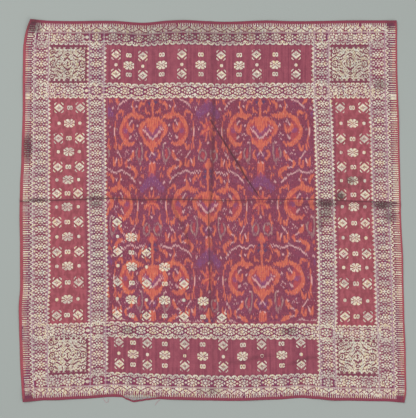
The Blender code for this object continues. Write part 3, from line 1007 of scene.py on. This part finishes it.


# %% [markdown]
# ## The silk ground
# The weft in the two side panels is plain rose red, faded unevenly. Between them it is dyed in stripes of
# crimson and dull red. Under the gold the silk is a deep crimson, with a mauve stripe along each side of
# the upright strips. Sharp creases get painted shade, in the silk and in the gold alike.

# %% Ground colours
ROSE = daylight("A6525C")
ROSE_DEEP = daylight("8A4049")
CRIMSON = daylight("9A4C5A")
CRIMSON_DEEP = daylight("80394A")
BAND_CRIMSON = daylight("85304A")
BAND_VIOLET = daylight("6E3458")
SQUARE_GROUND = daylight("7A3A4A")
MAUVE = daylight("A87A94")
MAUVE_GREY = daylight("AE9190")
HEM_ROSE = daylight("9E4650")
SELVEDGE = daylight("8A3347")
# Dark brown for the stains, which carry painted fold shade too, and dark red for painted fold and crease
# shade.
SOOT_AND_SHADE = daylight("45302F")
FOLD_DARK = daylight("522630")
SILK_SHINE = {"Sheen_Weight": 0.08, "Specular_IOR_Level": 0.3}
SIDE_PANEL_FROM, SIDE_PANEL_FULL = 286.0, 292.0
SQUARE_MIDDLE = 328.3
OUTER_STRIP_MIDDLE = 390.2
OUTER_LEVEL_FROM = 377.5


def line_away(silk, at, paths):
    """How far a place is outside the nearest of some bent lines. A line of one place is a dot."""
    nearest = None
    for path in paths:
        for start, end in zip(path, path[1:] or path):
            middle = (start[0], start[1], 0.0)
            if start == end:
                away = at.vector("DISTANCE", at, middle, output=1) - start[2]
            else:
                run = (end[0] - start[0], end[1] - start[1], 0.0)
                length = run[0] ** 2 + run[1] ** 2
                from_start = at.vector("SUBTRACT", at, middle)
                part = tuple(r / length for r in run)
                share = at.vector("DOT_PRODUCT", from_start, part, output=1).clamp()
                away = at.vector("DISTANCE", from_start, share.scaled(run), output=1)
                away = away - at.math("MULTIPLY_ADD", share, end[2] - start[2], start[2])
            nearest = away if nearest is None else nearest.least(away)
    return nearest


def ground_finish():
    silk = Finish("silk_ground", Roughness=0.62, Sheen_Roughness=0.5, **SILK_SHINE)
    x, y, _ = silk.split(silk.attribute("woven_place", "Vector"))
    wide, high = abs(x), abs(y)
    at = silk.join(x, y)
    soft = silk.noise(at, 0.012, 3.0)
    mottle = silk.noise(silk.join(x, y * 0.5), 0.11, 4.0)
    streak = silk.noise(silk.join(x, y * 0.02), 0.22, 2.0)
    thread = silk.chance((x * 1.6).floor())
    warp = silk.chance((y * 1.4).floor() + 0.5)
    fading = (mottle.step(0.62, 0.40) * 0.75 + streak * 0.3 + thread * 0.15 - 0.15).clamp()
    side = fading.pick(ROSE, ROSE_DEEP)
    stripe = (streak.step(0.42, 0.62) * 0.5 + thread * 0.2 + mottle.step(0.6, 0.4) * 0.35).clamp()
    middle = stripe.pick(CRIMSON, CRIMSON_DEEP)
    colour = wide.step(SIDE_PANEL_FROM, SIDE_PANEL_FULL).pick(middle, side)
    squares = abs(wide - SQUARE_MIDDLE).step(45.5, 44.0) * abs(high - SQUARE_Y[1]).step(44.5, 43.0)
    from_inner = abs(x - STRIP_X[1]).least(abs(x - STRIP_X[2]))
    upright = from_inner.step(20.5, 18.5)
    outer = (wide - 368.8).step(1.0, 3.0) * (wide - 421.0).step(3.0, 1.0)
    level = abs(y - STRIP_Y[2]).least(abs(y - STRIP_Y[1])).step(17.0, 15.0)
    level = level.most((high - OUTER_LEVEL_FROM).step(0.0, 2.0))
    bands = squares.most(upright).most(outer).most(level * wide.step(432.0, 428.0))
    ground = (streak.step(0.4, 0.65) * 0.7 + thread * 0.2).clamp().pick(BAND_CRIMSON, BAND_VIOLET)
    colour = (bands * 0.9).pick(colour, ground)
    colour = (squares * 0.9).pick(colour, SQUARE_GROUND)
    off_middle = from_inner.least(abs(wide - OUTER_STRIP_MIDDLE))
    faded = abs(off_middle - 14.4).step(4.4, 3.0) * abs(y).step(382.0, 378.0) * 0.35
    colour = faded.pick(colour, MAUVE_GREY)
    beside = abs(off_middle - 17.0).step(2.3, 1.1)
    peak_lines = abs(y - PEAK_LINE_UP).least(abs(y - PEAK_LINE_DOWN))
    beside = beside.most(peak_lines.step(1.8, 0.8) * 0.8)
    dashes = silk.noise(silk.join(x * 1.2, y * 0.3), 0.5, 2.0)
    lilac = (dashes * 1.6 - 0.3).clamp().pick(MAUVE, MAUVE_GREY)
    colour = (beside * (dashes * 0.9 + 0.35)).clamp().pick(colour, lilac)
    colour = wide.step(429.0, 431.0).pick(colour, HEM_ROSE)
    edge = (high - 426.5).step(0.0, 2.5)
    colour = edge.pick(colour, (streak * 0.7 + thread * 0.3).clamp().pick(SELVEDGE, CRIMSON_DEEP))
    finish_silk(silk, colour, soft, thread, warp)
    return silk


def finish_silk(silk, colour, soft, thread, warp):
    """What all the silk has: soil, painted shade along folds and creases, the ribs of the weave and a soft
    shine.
    """
    x, y, _ = silk.split(silk.attribute("flat_place", "Vector"))
    at = silk.join(x, y)
    blotch = silk.noise(at, 0.16, 4.0)
    # Stains darken the silk towards dark brown. Along the cross fold this is partly painted shade.
    stain_and_shade = (silk.attribute("stain_and_shade") * (blotch * 1.5 + 0.1)).clamp()
    colour = stain_and_shade.pick(colour, SOOT_AND_SHADE)
    # Painted shade along the crests of the folds, mottled.
    fold = silk.attribute("fold_shade")
    colour = (fold * (soft * 0.4 + blotch * 0.3 + 0.1)).clamp().pick(colour, FOLD_DARK)
    # Painted shade: thin dark lines along the sharp creases.
    for crease in CREASES:
        away = line_away(silk, at, [crease.places]) + (blotch - 0.5) * 1.5
        colour = (away.step(crease.soft, -0.4 * crease.soft) * crease.strength).pick(colour, FOLD_DARK)
    grain = silk.noise(at, 0.42, 2.0)
    shade = thread * 0.10 + warp * 0.12 + soft * 0.10 + grain * 0.30 + 0.70
    colour = shade.scaled(colour)
    silk.wear(Base_Color=colour, Roughness=0.52 + soft * 0.2 + stain_and_shade * 0.15)
    ribs = x.wave(0.62) * 0.5 + y.wave(0.74) * 0.5 + grain * 1.5
    silk.bump(ribs, 0.00012, 0.8)


# %% [markdown]
# ## The limar middle
# The weft is tied and dyed before weaving, so the motifs have straight sides across the weft and feather
# along it. The motif is a flower head with a scrolled leaf on each side, and hooks, a stalk and buds below
# it, set in a half-drop repeat. Its strokes are a table for the right-hand half; the left mirrors it. Each
# stroke is a row of places with the half width there.

# %% Strokes of the limar motif, in millimetres from the middle of the flower head
ORANGE_STROKES = [
    [(0, 20, 3), (14, 18, 4), (27, 9, 4.5), (34, -3, 4.5), (31, -15, 4), (25, -21, 3)],
    [(3, 14, 5), (4, 0, 5), (1, -15, 2.5)], [(11, 16, 2.5), (12, 2, 2)],
    [(22, -25, 3), (20, -33, 4), (10, -40, 5), (3, -46, 4), (1, -60, 1.2)], [(3, -33, 3), (3, -42, 5)],
    [(25, 25, 2.5), (40, 25, 7), (50, 29, 6), (52, 44, 1.8)],
    [(57, 29, 4), (66, 25, 5), (75, 18, 5), (82, 5, 4), (86, -5, 3.5), (86, -17, 3.5), (81, -25, 4.5),
     (73, -35, 6), (64, -41, 5), (54, -39, 3.5), (49, -34, 2)],
    [(52, 6, 2), (53, -4, 3), (59, -10, 4), (66, -4, 4.5), (67, 6, 3)],
    [(82, -40, 2.2), (85, -51, 3), (89, -54, 2.5), (91, -45, 2)], [(97, -40, 1.5), (98, -53, 1.8)],
    [(101, 12, 1.4), (103, -15, 1.4), (100, -35, 1.6), (103, -48, 1.4)],
    [(81, 25, 2), (81, 34, 2.5), (86, 37, 2.5), (90, 31, 2.5), (95, 32, 1.5)], [(98, 27, 2.2), (97, 18, 2)],
    [(51, -57, 2.5), (53, -67, 4), (59, -74, 3.5)], [(69, -79, 2.5), (72, -85, 3.2), (68, -93, 2)],
    [(57, -92, 4), (48, -97, 4.8), (41, -104, 4.2), (42, -112, 3.2), (47, -118, 1.8)],
    [(84, -73, 1.8), (82, -88, 2.5), (89, -93, 3), (91, -80, 2)], [(99, -78, 1.6), (101, -90, 2.4)],
    [(105, -72, 1.6), (104, -90, 2.4)], [(14, -55, 2), (19, -61, 2.5), (17, -70, 3), (12, -75, 3)],
    [(2, -84, 2.5), (1, -95, 2), (3, -107, 2), (5, -115, 1.4)], [(6, -84, 1.6), (7, -100, 1.6)],
    [(20, -95, 2.5)],
    [(29, -93, 1.8), (30, -98, 1.8)], [(23, -109, 1.6), (23, -116, 1.6)], [(28, -110, 1.4), (28, -114, 1.4)],
    [(6, -150, 1.6), (4, -163, 2)], [(20, -160, 1.8), (11, -167, 3), (8, -171, 2.5)],
    [(0, -172, 2), (1, -178, 2.5)], [(4, -178, 2), (13, -181, 3), (17, -187, 3.5)],
    [(3, -185, 1.8), (6, -202, 2)], [(21, -203, 1.8), (19, -213, 2.5), (24, -225, 2.5)],
    [(1, 24, 1.3), (1, 48, 1.6), (3, 52, 2.5), (1, 60, 1.5), (1, 72, 1.4), (3, 82, 5), (1, 95, 2)],
    [(9, 34, 2.2), (17, 34, 2.5), (19, 45, 1.6)], [(22, 56, 2), (30, 57, 3.5), (35, 50, 3.5), (36, 42, 2)],
    [(16, 67, 1.5), (20, 59, 1.8)], [(53, 61, 1.2), (55, 52, 1.4), (53, 44, 1.2)],
]
RED_STROKES = [
    [(5, 12, 9), (14, 2, 12), (8, -12, 10)], [(24, -2, 8), (26, -8, 7)], [(10, -30, 7), (3, -42, 6)],
    [(72, 10, 7), (77, -6, 9), (70, -26, 7)], [(60, -1, 4)], [(8, 83, 5.5)], [(35, -52, 2), (36, -68, 3.5)],
    [(13, 110, 4), (13, 103, 4.5)], [(4, -86, 5), (4, -112, 5)], [(4, -165, 6), (8, -185, 6)],
]
VIOLET_STROKES = [
    [(20, 0, 3.2), (10, -9, 3.5), (0, -21, 3.5)], [(73, -8, 6)], [(7, -63, 3), (6, -71, 3)],
    [(0, -113, 6), (10, -128, 9), (24, -142, 8)], [(4, -128, 10)],
]
INDIGO_STROKES = [[(8, 57, 3.6)], [(7, 69, 3.2)]]
PINK_STROKES = [
    [(26, -4, 1.6), (19, -9, 1.8), (12, -17, 2.2), (5, -25, 2), (0, -28, 1.8)], [(19, 0, 1.8)],
    [(41, 4, 2.6)], [(58, -22, 2), (62, -26, 2.4)], [(44, 48, 2.6)], [(57, 47, 2.3)],
    [(55, 16, 1.4), (60, 10, 1.4), (63, 4, 1.2)],
    [(33, -37, 2), (30, -38, 1.5)], [(43, -15, 1.8)], [(48, -18, 1.6)], [(40, -20, 1.3)], [(44, -27, 1.6)],
    [(53, -56, 2.2)], [(71, -54, 1.6)], [(67, -60, 1.5)], [(73, -64, 1.4)], [(63, -63, 1.2)],
    [(104, -2, 1.3), (103, -20, 1.4)],
    [(20, 69, 1.5), (32, 67, 1.8), (41, 63, 1.6), (50, 65, 1.6), (55, 70, 1.6), (64, 67, 1.5), (74, 62, 1.4),
     (81, 58, 1.6), (88, 52, 1.6), (95, 43, 1.3)],
    [(0, -58, 1.2), (6, -66, 1.4)], [(5, -83, 2.2)], [(60, -75, 1.4), (67, -79, 1.4)],
    [(66, -93, 1.2), (58, -96, 1.4)],
    [(95, -58, 1.2), (88, -68, 1.4), (84, -72, 1)], [(96, -75, 1.4), (99, -84, 1.3)], [(31, -128, 2.8)],
    [(0, -143, 3)], [(24, -174, 2.2)], [(0, -209, 2.8)],
]
BUFF_STROKES = [
    [(28, -38, 1.8), (27, -50, 1.6), (27, -62, 1.8), (29, -75, 2), (33, -86, 1.6)],
    [(40, -50, 1.6), (44, -58, 1.8), (42, -68, 1.8), (37, -76, 2)], [(34, -77, 3.2)],
    [(13, 119, 2), (22, 112, 2), (23, 100, 2), (17, 92, 1.8), (9, 95, 1.6), (5, 106, 1.6), (8, 117, 1.6)],
    [(97, -6, 2.4)],
]
HALF_X = 139.3
HALF_Y = 171.0
MOTIF_Y = 188.5
CELL_MIDDLE_Y = -46.0


def both_homes(paths):
    """Every stroke's straight parts, each put in the cell or cells of the half-drop repeat that it enters."""
    parts = []
    for path in paths:
        for start, end in zip(path, path[1:] or path):
            shares = [abs(x) / HALF_X + abs(y - CELL_MIDDLE_Y) / HALF_Y for x, y, _ in (start, end)]
            if min(shares) < 1.04:
                parts.append((start, end) if start != end else (start,))
            if max(shares) > 0.96:
                drop = -HALF_Y if start[1] > CELL_MIDDLE_Y else HALF_Y
                moved = tuple((HALF_X - x, y + drop, wide) for x, y, wide in (start, end))
                parts.append(moved if start != end else moved[:1])
    return parts


# %% The limar finish
MAROON = daylight("82374A")
PLUM = daylight("803F5A")
DEEP = daylight("66283C")
ORANGE = daylight("DE7A54")
ORANGE_RED = daylight("BA4C4A")
RED = daylight("AC444C")
PINK = daylight("DAAAA6")
VIOLET = daylight("7A4A80")
INDIGO = daylight("4C3C60")
BUFF = daylight("B59B8A")


def limar_finish():
    silk = Finish("silk_limar", Roughness=0.6, Sheen_Roughness=0.5, **SILK_SHINE)
    x, y, _ = silk.split(silk.attribute("flat_place", "Vector"))
    beat_x, _, _ = silk.split(silk.attribute("limar_place", "Vector"))
    soft = silk.noise(silk.join(x, y), 0.012, 3.0)
    bundle = silk.chance((x * 0.45).floor())
    thread = silk.chance((x * 1.1).floor())
    warp = silk.chance((y * 1.4).floor() + 0.5)
    slip = silk.noise(silk.join(x * 1.3, y * 0.03), 0.35, 1.0)
    bent_y = y + (bundle - 0.5) * 5.0 + (thread - 0.5) * 3.0 + (slip - 0.5) * 5.0
    bent_x = beat_x + (silk.noise(silk.join(x, y), 0.03, 2.0) - 0.5) * 3.0
    cells = []
    for drop_x, drop_y in ((0.0, MOTIF_Y), (HALF_X, MOTIF_Y - HALF_Y)):
        across = (bent_x + drop_x) % (2.0 * HALF_X) - HALF_X
        up = (bent_y - (drop_y + CELL_MIDDLE_Y - HALF_Y)) % (2.0 * HALF_Y) - HALF_Y
        cells.append((abs(across), up))
    (across_1, up_1), (across_2, up_2) = cells
    in_first = silk.maker.math("LESS_THAN", across_1 / HALF_X + abs(up_1) / HALF_Y, 1.0)
    across = across_2 + (across_1 - across_2) * in_first
    up = up_2 + (up_1 - up_2) * in_first + CELL_MIDDLE_Y
    at = silk.join(across, up)
    streak = silk.noise(silk.join(x, y * 0.2), 0.42, 3.0)
    fleck = silk.noise(silk.join(x, y * 0.4), 0.40, 2.0)
    fade = bundle * 0.15 + thread * 0.15 + 0.7
    colour = (soft * 1.5 - 0.4 + (streak - 0.5) * 1.2).clamp().pick(MAROON, PLUM)
    colour = (fleck.step(0.42, 0.30) * 0.8).pick(colour, DEEP)
    colour = (fleck.step(0.62, 0.74) * 0.6).pick(colour, ORANGE_RED)
    layers = ((RED_STROKES, RED, ORANGE_RED, 0.8), (ORANGE_STROKES, ORANGE, ORANGE_RED, 0.95),
              (VIOLET_STROKES, VIOLET, PLUM, 0.7), (INDIGO_STROKES, INDIGO, INDIGO, 0.85),
              (BUFF_STROKES, BUFF, PLUM, 0.75), (PINK_STROKES, PINK, PINK, 0.85))
    for strokes, first, second, cover in layers:
        ink = (streak * 2.6 - 0.85).clamp().pick(first, second)
        edge = line_away(silk, at, both_homes(strokes)).step(1.0, -0.8)
        colour = (edge * fade * cover).pick(colour, ink)
    other = silk.noise(silk.join(x + 400.0, y * 0.4), 0.42, 1.0)
    colour = (other.step(0.68, 0.80) * 0.45).pick(colour, PINK)
    finish_silk(silk, colour, soft, thread, warp)
    return silk


# %% [markdown]
# ## Gold thread and the reverse
# The thread is a strip of gilt metal wound on a silk core. It is pale and soft-shining now, and grey brown
# where it has tarnished and where the painted shade of folds and creases falls. The reverse shows the same
# dyed silk, duller, with the gold passing behind.

# %% Gold and reverse finishes
GOLD_PALE = daylight("EFE8D3")
GOLD_WARM = daylight("E2D3A6")
GOLD_COOL = daylight("D0D7C2")
GOLD_DULL = daylight("B9A9A0")
GOLD_ROSY = daylight("D2B6AF")
# Dark grey brown for tarnish and for painted shade of folds and creases on the gold.
TARNISH_AND_SHADE = daylight("5A4A46")


def gold_finish():
    thread = Finish("gold_thread", Metallic=0.1, Roughness=0.42, Coat_Weight=0.1)
    tone = thread.attribute("tone")
    stain_and_shade = thread.attribute("stain_and_shade")
    patch = thread.attribute("patch")
    colour = tone.step(0.35, 1.0).pick(GOLD_PALE, GOLD_WARM)
    colour = tone.step(0.25, 0.0).pick(colour, GOLD_COOL)
    colour = (patch.step(0.35, 0.9) * (tone * 0.7 + 0.3)).pick(colour, GOLD_DULL)
    colour = (patch.step(0.45, 0.1) * tone.step(0.75, 0.3) * 0.7).pick(colour, GOLD_ROSY)
    # Tarnish and painted fold and crease shade darken the gold.
    colour = (stain_and_shade * 1.1 + (tone - 0.5) * stain_and_shade * 0.5).clamp().pick(colour, TARNISH_AND_SHADE)
    thread.wear(Base_Color=colour, Roughness=0.36 + tone * 0.16 + stain_and_shade * 0.25)
    return thread


def reverse_finish():
    silk = Finish("silk_reverse", Roughness=0.7, **SILK_SHINE)
    x, y, _ = silk.split(silk.attribute("woven_place", "Vector"))
    wide, high = abs(x), abs(y)
    streak = silk.noise(silk.join(x, y * 0.03), 0.3, 2.0)
    soft = silk.noise(silk.join(x, y), 0.012, 3.0)
    thread = silk.chance((x * 1.6).floor())
    warp = silk.chance((y * 1.4).floor() + 0.5)
    stripe = streak.step(0.4, 0.6).pick(CRIMSON, CRIMSON_DEEP)
    colour = wide.step(SIDE_PANEL_FROM, SIDE_PANEL_FULL).pick(stripe, ROSE)
    middle = wide.step(239.0, 237.0) * high.step(258.0, 254.0)
    colour = (middle * 0.9).pick(colour, streak.step(0.5, 0.62).pick(MAROON, ORANGE_RED))
    bands = wide.step(236.0, 239.0) * wide.step(289.0, 286.0)
    bands = bands.most(wide.step(368.0, 371.0) * wide.step(432.0, 430.0))
    bands = bands.most(high.step(374.0, 377.0) * high.step(427.0, 424.0))
    bands = bands.most(abs(high - 275.0).step(20.0, 18.0))
    behind = silk.noise(silk.join(x * 2.2, y * 0.3), 0.5, 1.0).step(0.5, 0.6)
    colour = (bands * behind * 0.6).pick(colour, GOLD_WARM)
    finish_silk(silk, colour, soft, thread, warp)
    return silk


for finish in (ground_finish(), limar_finish(), reverse_finish()):
    cloth.data.materials.append(finish.material)
    print(finish.material.name, len(finish.tree.nodes), "nodes")
gold_material = gold_finish().material
for piece in gold_pieces:
    piece.data.materials.append(gold_material)

# %% [markdown]
# ## Frayed threads
# Across the tear a few wefts still reach from the torn edge to the loose cord, slanting and pale, and two
# ends hang out below the selvedge. Each is a thin tube swept along three or four places.

# %% Threads at the tear
THREAD_SIDES = 6
THREAD_STEPS = 8
FRAY_COUNT = 30
FRAY_THICK = 0.55


def tube(path, thick):
    """Points and faces of a closed thread along a bent path, in millimetres."""
    path = np.asarray(path, float)
    places = np.linspace(0, len(path) - 1, THREAD_STEPS)
    knots = np.arange(len(path))
    line = np.stack([np.interp(places, knots, path[:, i]) for i in range(3)], axis=1)
    line[1:-1] = (line[:-2] + 2.0 * line[1:-1] + line[2:]) / 4.0
    run = np.gradient(line, axis=0)
    run /= np.linalg.norm(run, axis=1)[:, None]
    side = np.cross(run, (0.0, 0.0, 1.0))
    side /= np.maximum(np.linalg.norm(side, axis=1), 1e-6)[:, None]
    up = np.cross(side, run)
    turn = np.arange(THREAD_SIDES) * 2.0 * math.pi / THREAD_SIDES
    taper = np.ones(THREAD_STEPS)
    taper[-1] = 0.4
    round_it = np.cos(turn)[None, :, None] * side[:, None] + np.sin(turn)[None, :, None] * up[:, None]
    points = line[:, None] + round_it * (thick / 2.0 * taper)[:, None, None]
    ring, corner = np.arange(THREAD_STEPS - 1)[:, None] * THREAD_SIDES, np.arange(THREAD_SIDES)
    first = ring + corner
    next_side = ring + (corner + 1) % THREAD_SIDES
    faces = np.stack([first, next_side, next_side + THREAD_SIDES, first + THREAD_SIDES], axis=-1)
    faces = faces.reshape(-1, 4)
    end = (THREAD_STEPS - 1) * THREAD_SIDES
    caps = [(0, 3, 2, 1), (0, 5, 4, 3), (end, end + 1, end + 2, end + 3), (end, end + 3, end + 4, end + 5)]
    return points.reshape(-1, 3), np.concatenate([faces, caps])


def threads(name, paths, thick):
    all_points, all_faces, tones, start = [], [], [], 0
    for path in paths:
        thread_points, thread_faces = tube(path, thick)
        all_points.append(thread_points)
        all_faces.append(thread_faces + start)
        tones.append(np.full(len(thread_points), chance.random()))
        start += len(thread_points)
    tone = ("tone", np.concatenate(tones))
    piece = mesh_object(name, np.concatenate(all_points), np.concatenate(all_faces), [tone])
    for face in piece.data.polygons:
        face.use_smooth = True
    return piece


fray_paths = []
for share in (np.arange(FRAY_COUNT) + 0.5) / FRAY_COUNT:
    along = TEAR_STARTS + (TEAR_ENDS - TEAR_STARTS) * share
    slant = 5.0 * (1.0 - 1.4 * share) + chance.normal(0.0, 1.2)
    bitten = max(TORN_EDGE_IN * math.sin(math.pi * share), TORN_EDGE_LEAST)
    torn_x, torn_y = place(np.array([along]), np.array([CORD_WIDTH - HALF_SIDE + bitten + 1.5]), 0.0)
    cord_at = float(np.clip(along + slant, TEAR_STARTS + 1.0, TEAR_ENDS - 1.0))
    cord_x, cord_y = place(np.array([cord_at]), np.array([1.4 - HALF_SIDE + 1.0]), 1.0)
    bow = chance.normal(0.0, 0.5)
    fray_paths.append([
        (torn_x[0], torn_y[0] + 2.0, 1.5), (torn_x[0], torn_y[0], 1.3),
        ((torn_x[0] + cord_x[0]) / 2 + bow, (torn_y[0] + cord_y[0]) / 2, 0.7), (cord_x[0], cord_y[0], 2.2),
    ])
fray = threads("frayed_wefts", fray_paths, FRAY_THICK)
LOOSE_ENDS = [
    [(-117.0, -427.0, 1.2), (-121.0, -431.5, 0.6), (-126.5, -436.5, 0.4), (-129.0, -441.0, 0.4)],
    [(-246.0, -424.0, 1.2), (-243.0, -430.0, 0.5), (-237.5, -438.0, 0.4), (-233.5, -432.5, 0.5),
     (-233.0, -425.0, 1.2)],
]
loose_ends = threads("loose_ends", LOOSE_ENDS, 0.6)


def fray_finish():
    silk = Finish("frayed_silk", Roughness=0.65, Sheen_Weight=0.2)
    tone = silk.attribute("tone")
    silk.wear(Base_Color=tone.pick(daylight("C9909A"), daylight("A14A58")))
    return silk


fray_material = fray_finish().material
fray.data.materials.append(fray_material)
loose_ends.data.materials.append(fray_material)

# %% [markdown]
# ## Setting it in the frame
# Everything rides on the one body. The sheet stands for the CAD cloth.

# %% The frame's table
for piece in [cloth, fray, loose_ends] + gold_pieces:
    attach(piece, "root")
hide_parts("songket_cloth")

# %% [markdown]
# ## Floor, light and camera
# A pale cool floor, a wide soft light from the upper left and a weaker one from the right. The camera
# looks almost straight down, leaning a little towards the lower side.

# %% Stage
FLOOR_GREY = daylight("9DA29D")


def stage_piece(name, data):
    piece = bpy.data.objects.new(name, data)
    bpy.context.scene.collection.objects.link(piece)
    return piece


floor_mesh = bpy.data.meshes.new("floor")
FLOOR_HALF = 4
FLOOR_LEVEL = -0.0004
turns = ((-1, -1), (1, -1), (1, 1), (-1, 1))
floor_corners = [(x * FLOOR_HALF, y * FLOOR_HALF, FLOOR_LEVEL) for x, y in turns]
floor_mesh.from_pydata(floor_corners, [], [(0, 1, 2, 3)])
floor = stage_piece("floor", floor_mesh)
floor_finish = Finish("floor_paint", Roughness=0.9, Base_Color=FLOOR_GREY)
floor_mesh.materials.append(floor_finish.material)


def soft_light(name, place_at, size, power):
    lamp = bpy.data.lights.new(name, "AREA")
    lamp.size, lamp.energy = size, power
    light = stage_piece(name, lamp)
    light.location = place_at
    light.rotation_euler = (-Vector(place_at)).to_track_quat("-Z", "Y").to_euler()


soft_light("key_light", place_at=(-1.1, 1.0, 2.9), size=1.8, power=62.0)
soft_light("fill_light", place_at=(1.5, -1.2, 2.6), size=2.2, power=40.0)
ROOM_LIGHT = (0.9, 0.95, 1.0, 1.0)
ROOM_LIGHT_STRENGTH = 0.42
world = bpy.data.worlds.new("studio")
world.use_nodes = True
room = world.node_tree.nodes["Background"].inputs
room["Color"].default_value = ROOM_LIGHT
room["Strength"].default_value = ROOM_LIGHT_STRENGTH
bpy.context.scene.world = world
bpy.context.scene.view_settings.view_transform = "Standard"

# %% Camera
CAMERA_LENS = 61.0
CAMERA_AWAY = 1.60
CAMERA_LEAN = math.radians(2.0)
CAMERA_AIM = Vector((-0.00969, 0.00077, 0.001))
lens = bpy.data.cameras.new("camera")
lens.sensor_fit = "HORIZONTAL"
lens.lens = CAMERA_LENS
camera = bpy.data.objects.new("camera", lens)
bpy.context.scene.collection.objects.link(camera)
camera.location = CAMERA_AIM + CAMERA_AWAY * Vector((0.0, -math.sin(CAMERA_LEAN), math.cos(CAMERA_LEAN)))
camera.rotation_euler = (CAMERA_LEAN, 0.0, 0.0)
bpy.context.scene.camera = camera

# %% The last lines
bpy.context.view_layer.update()
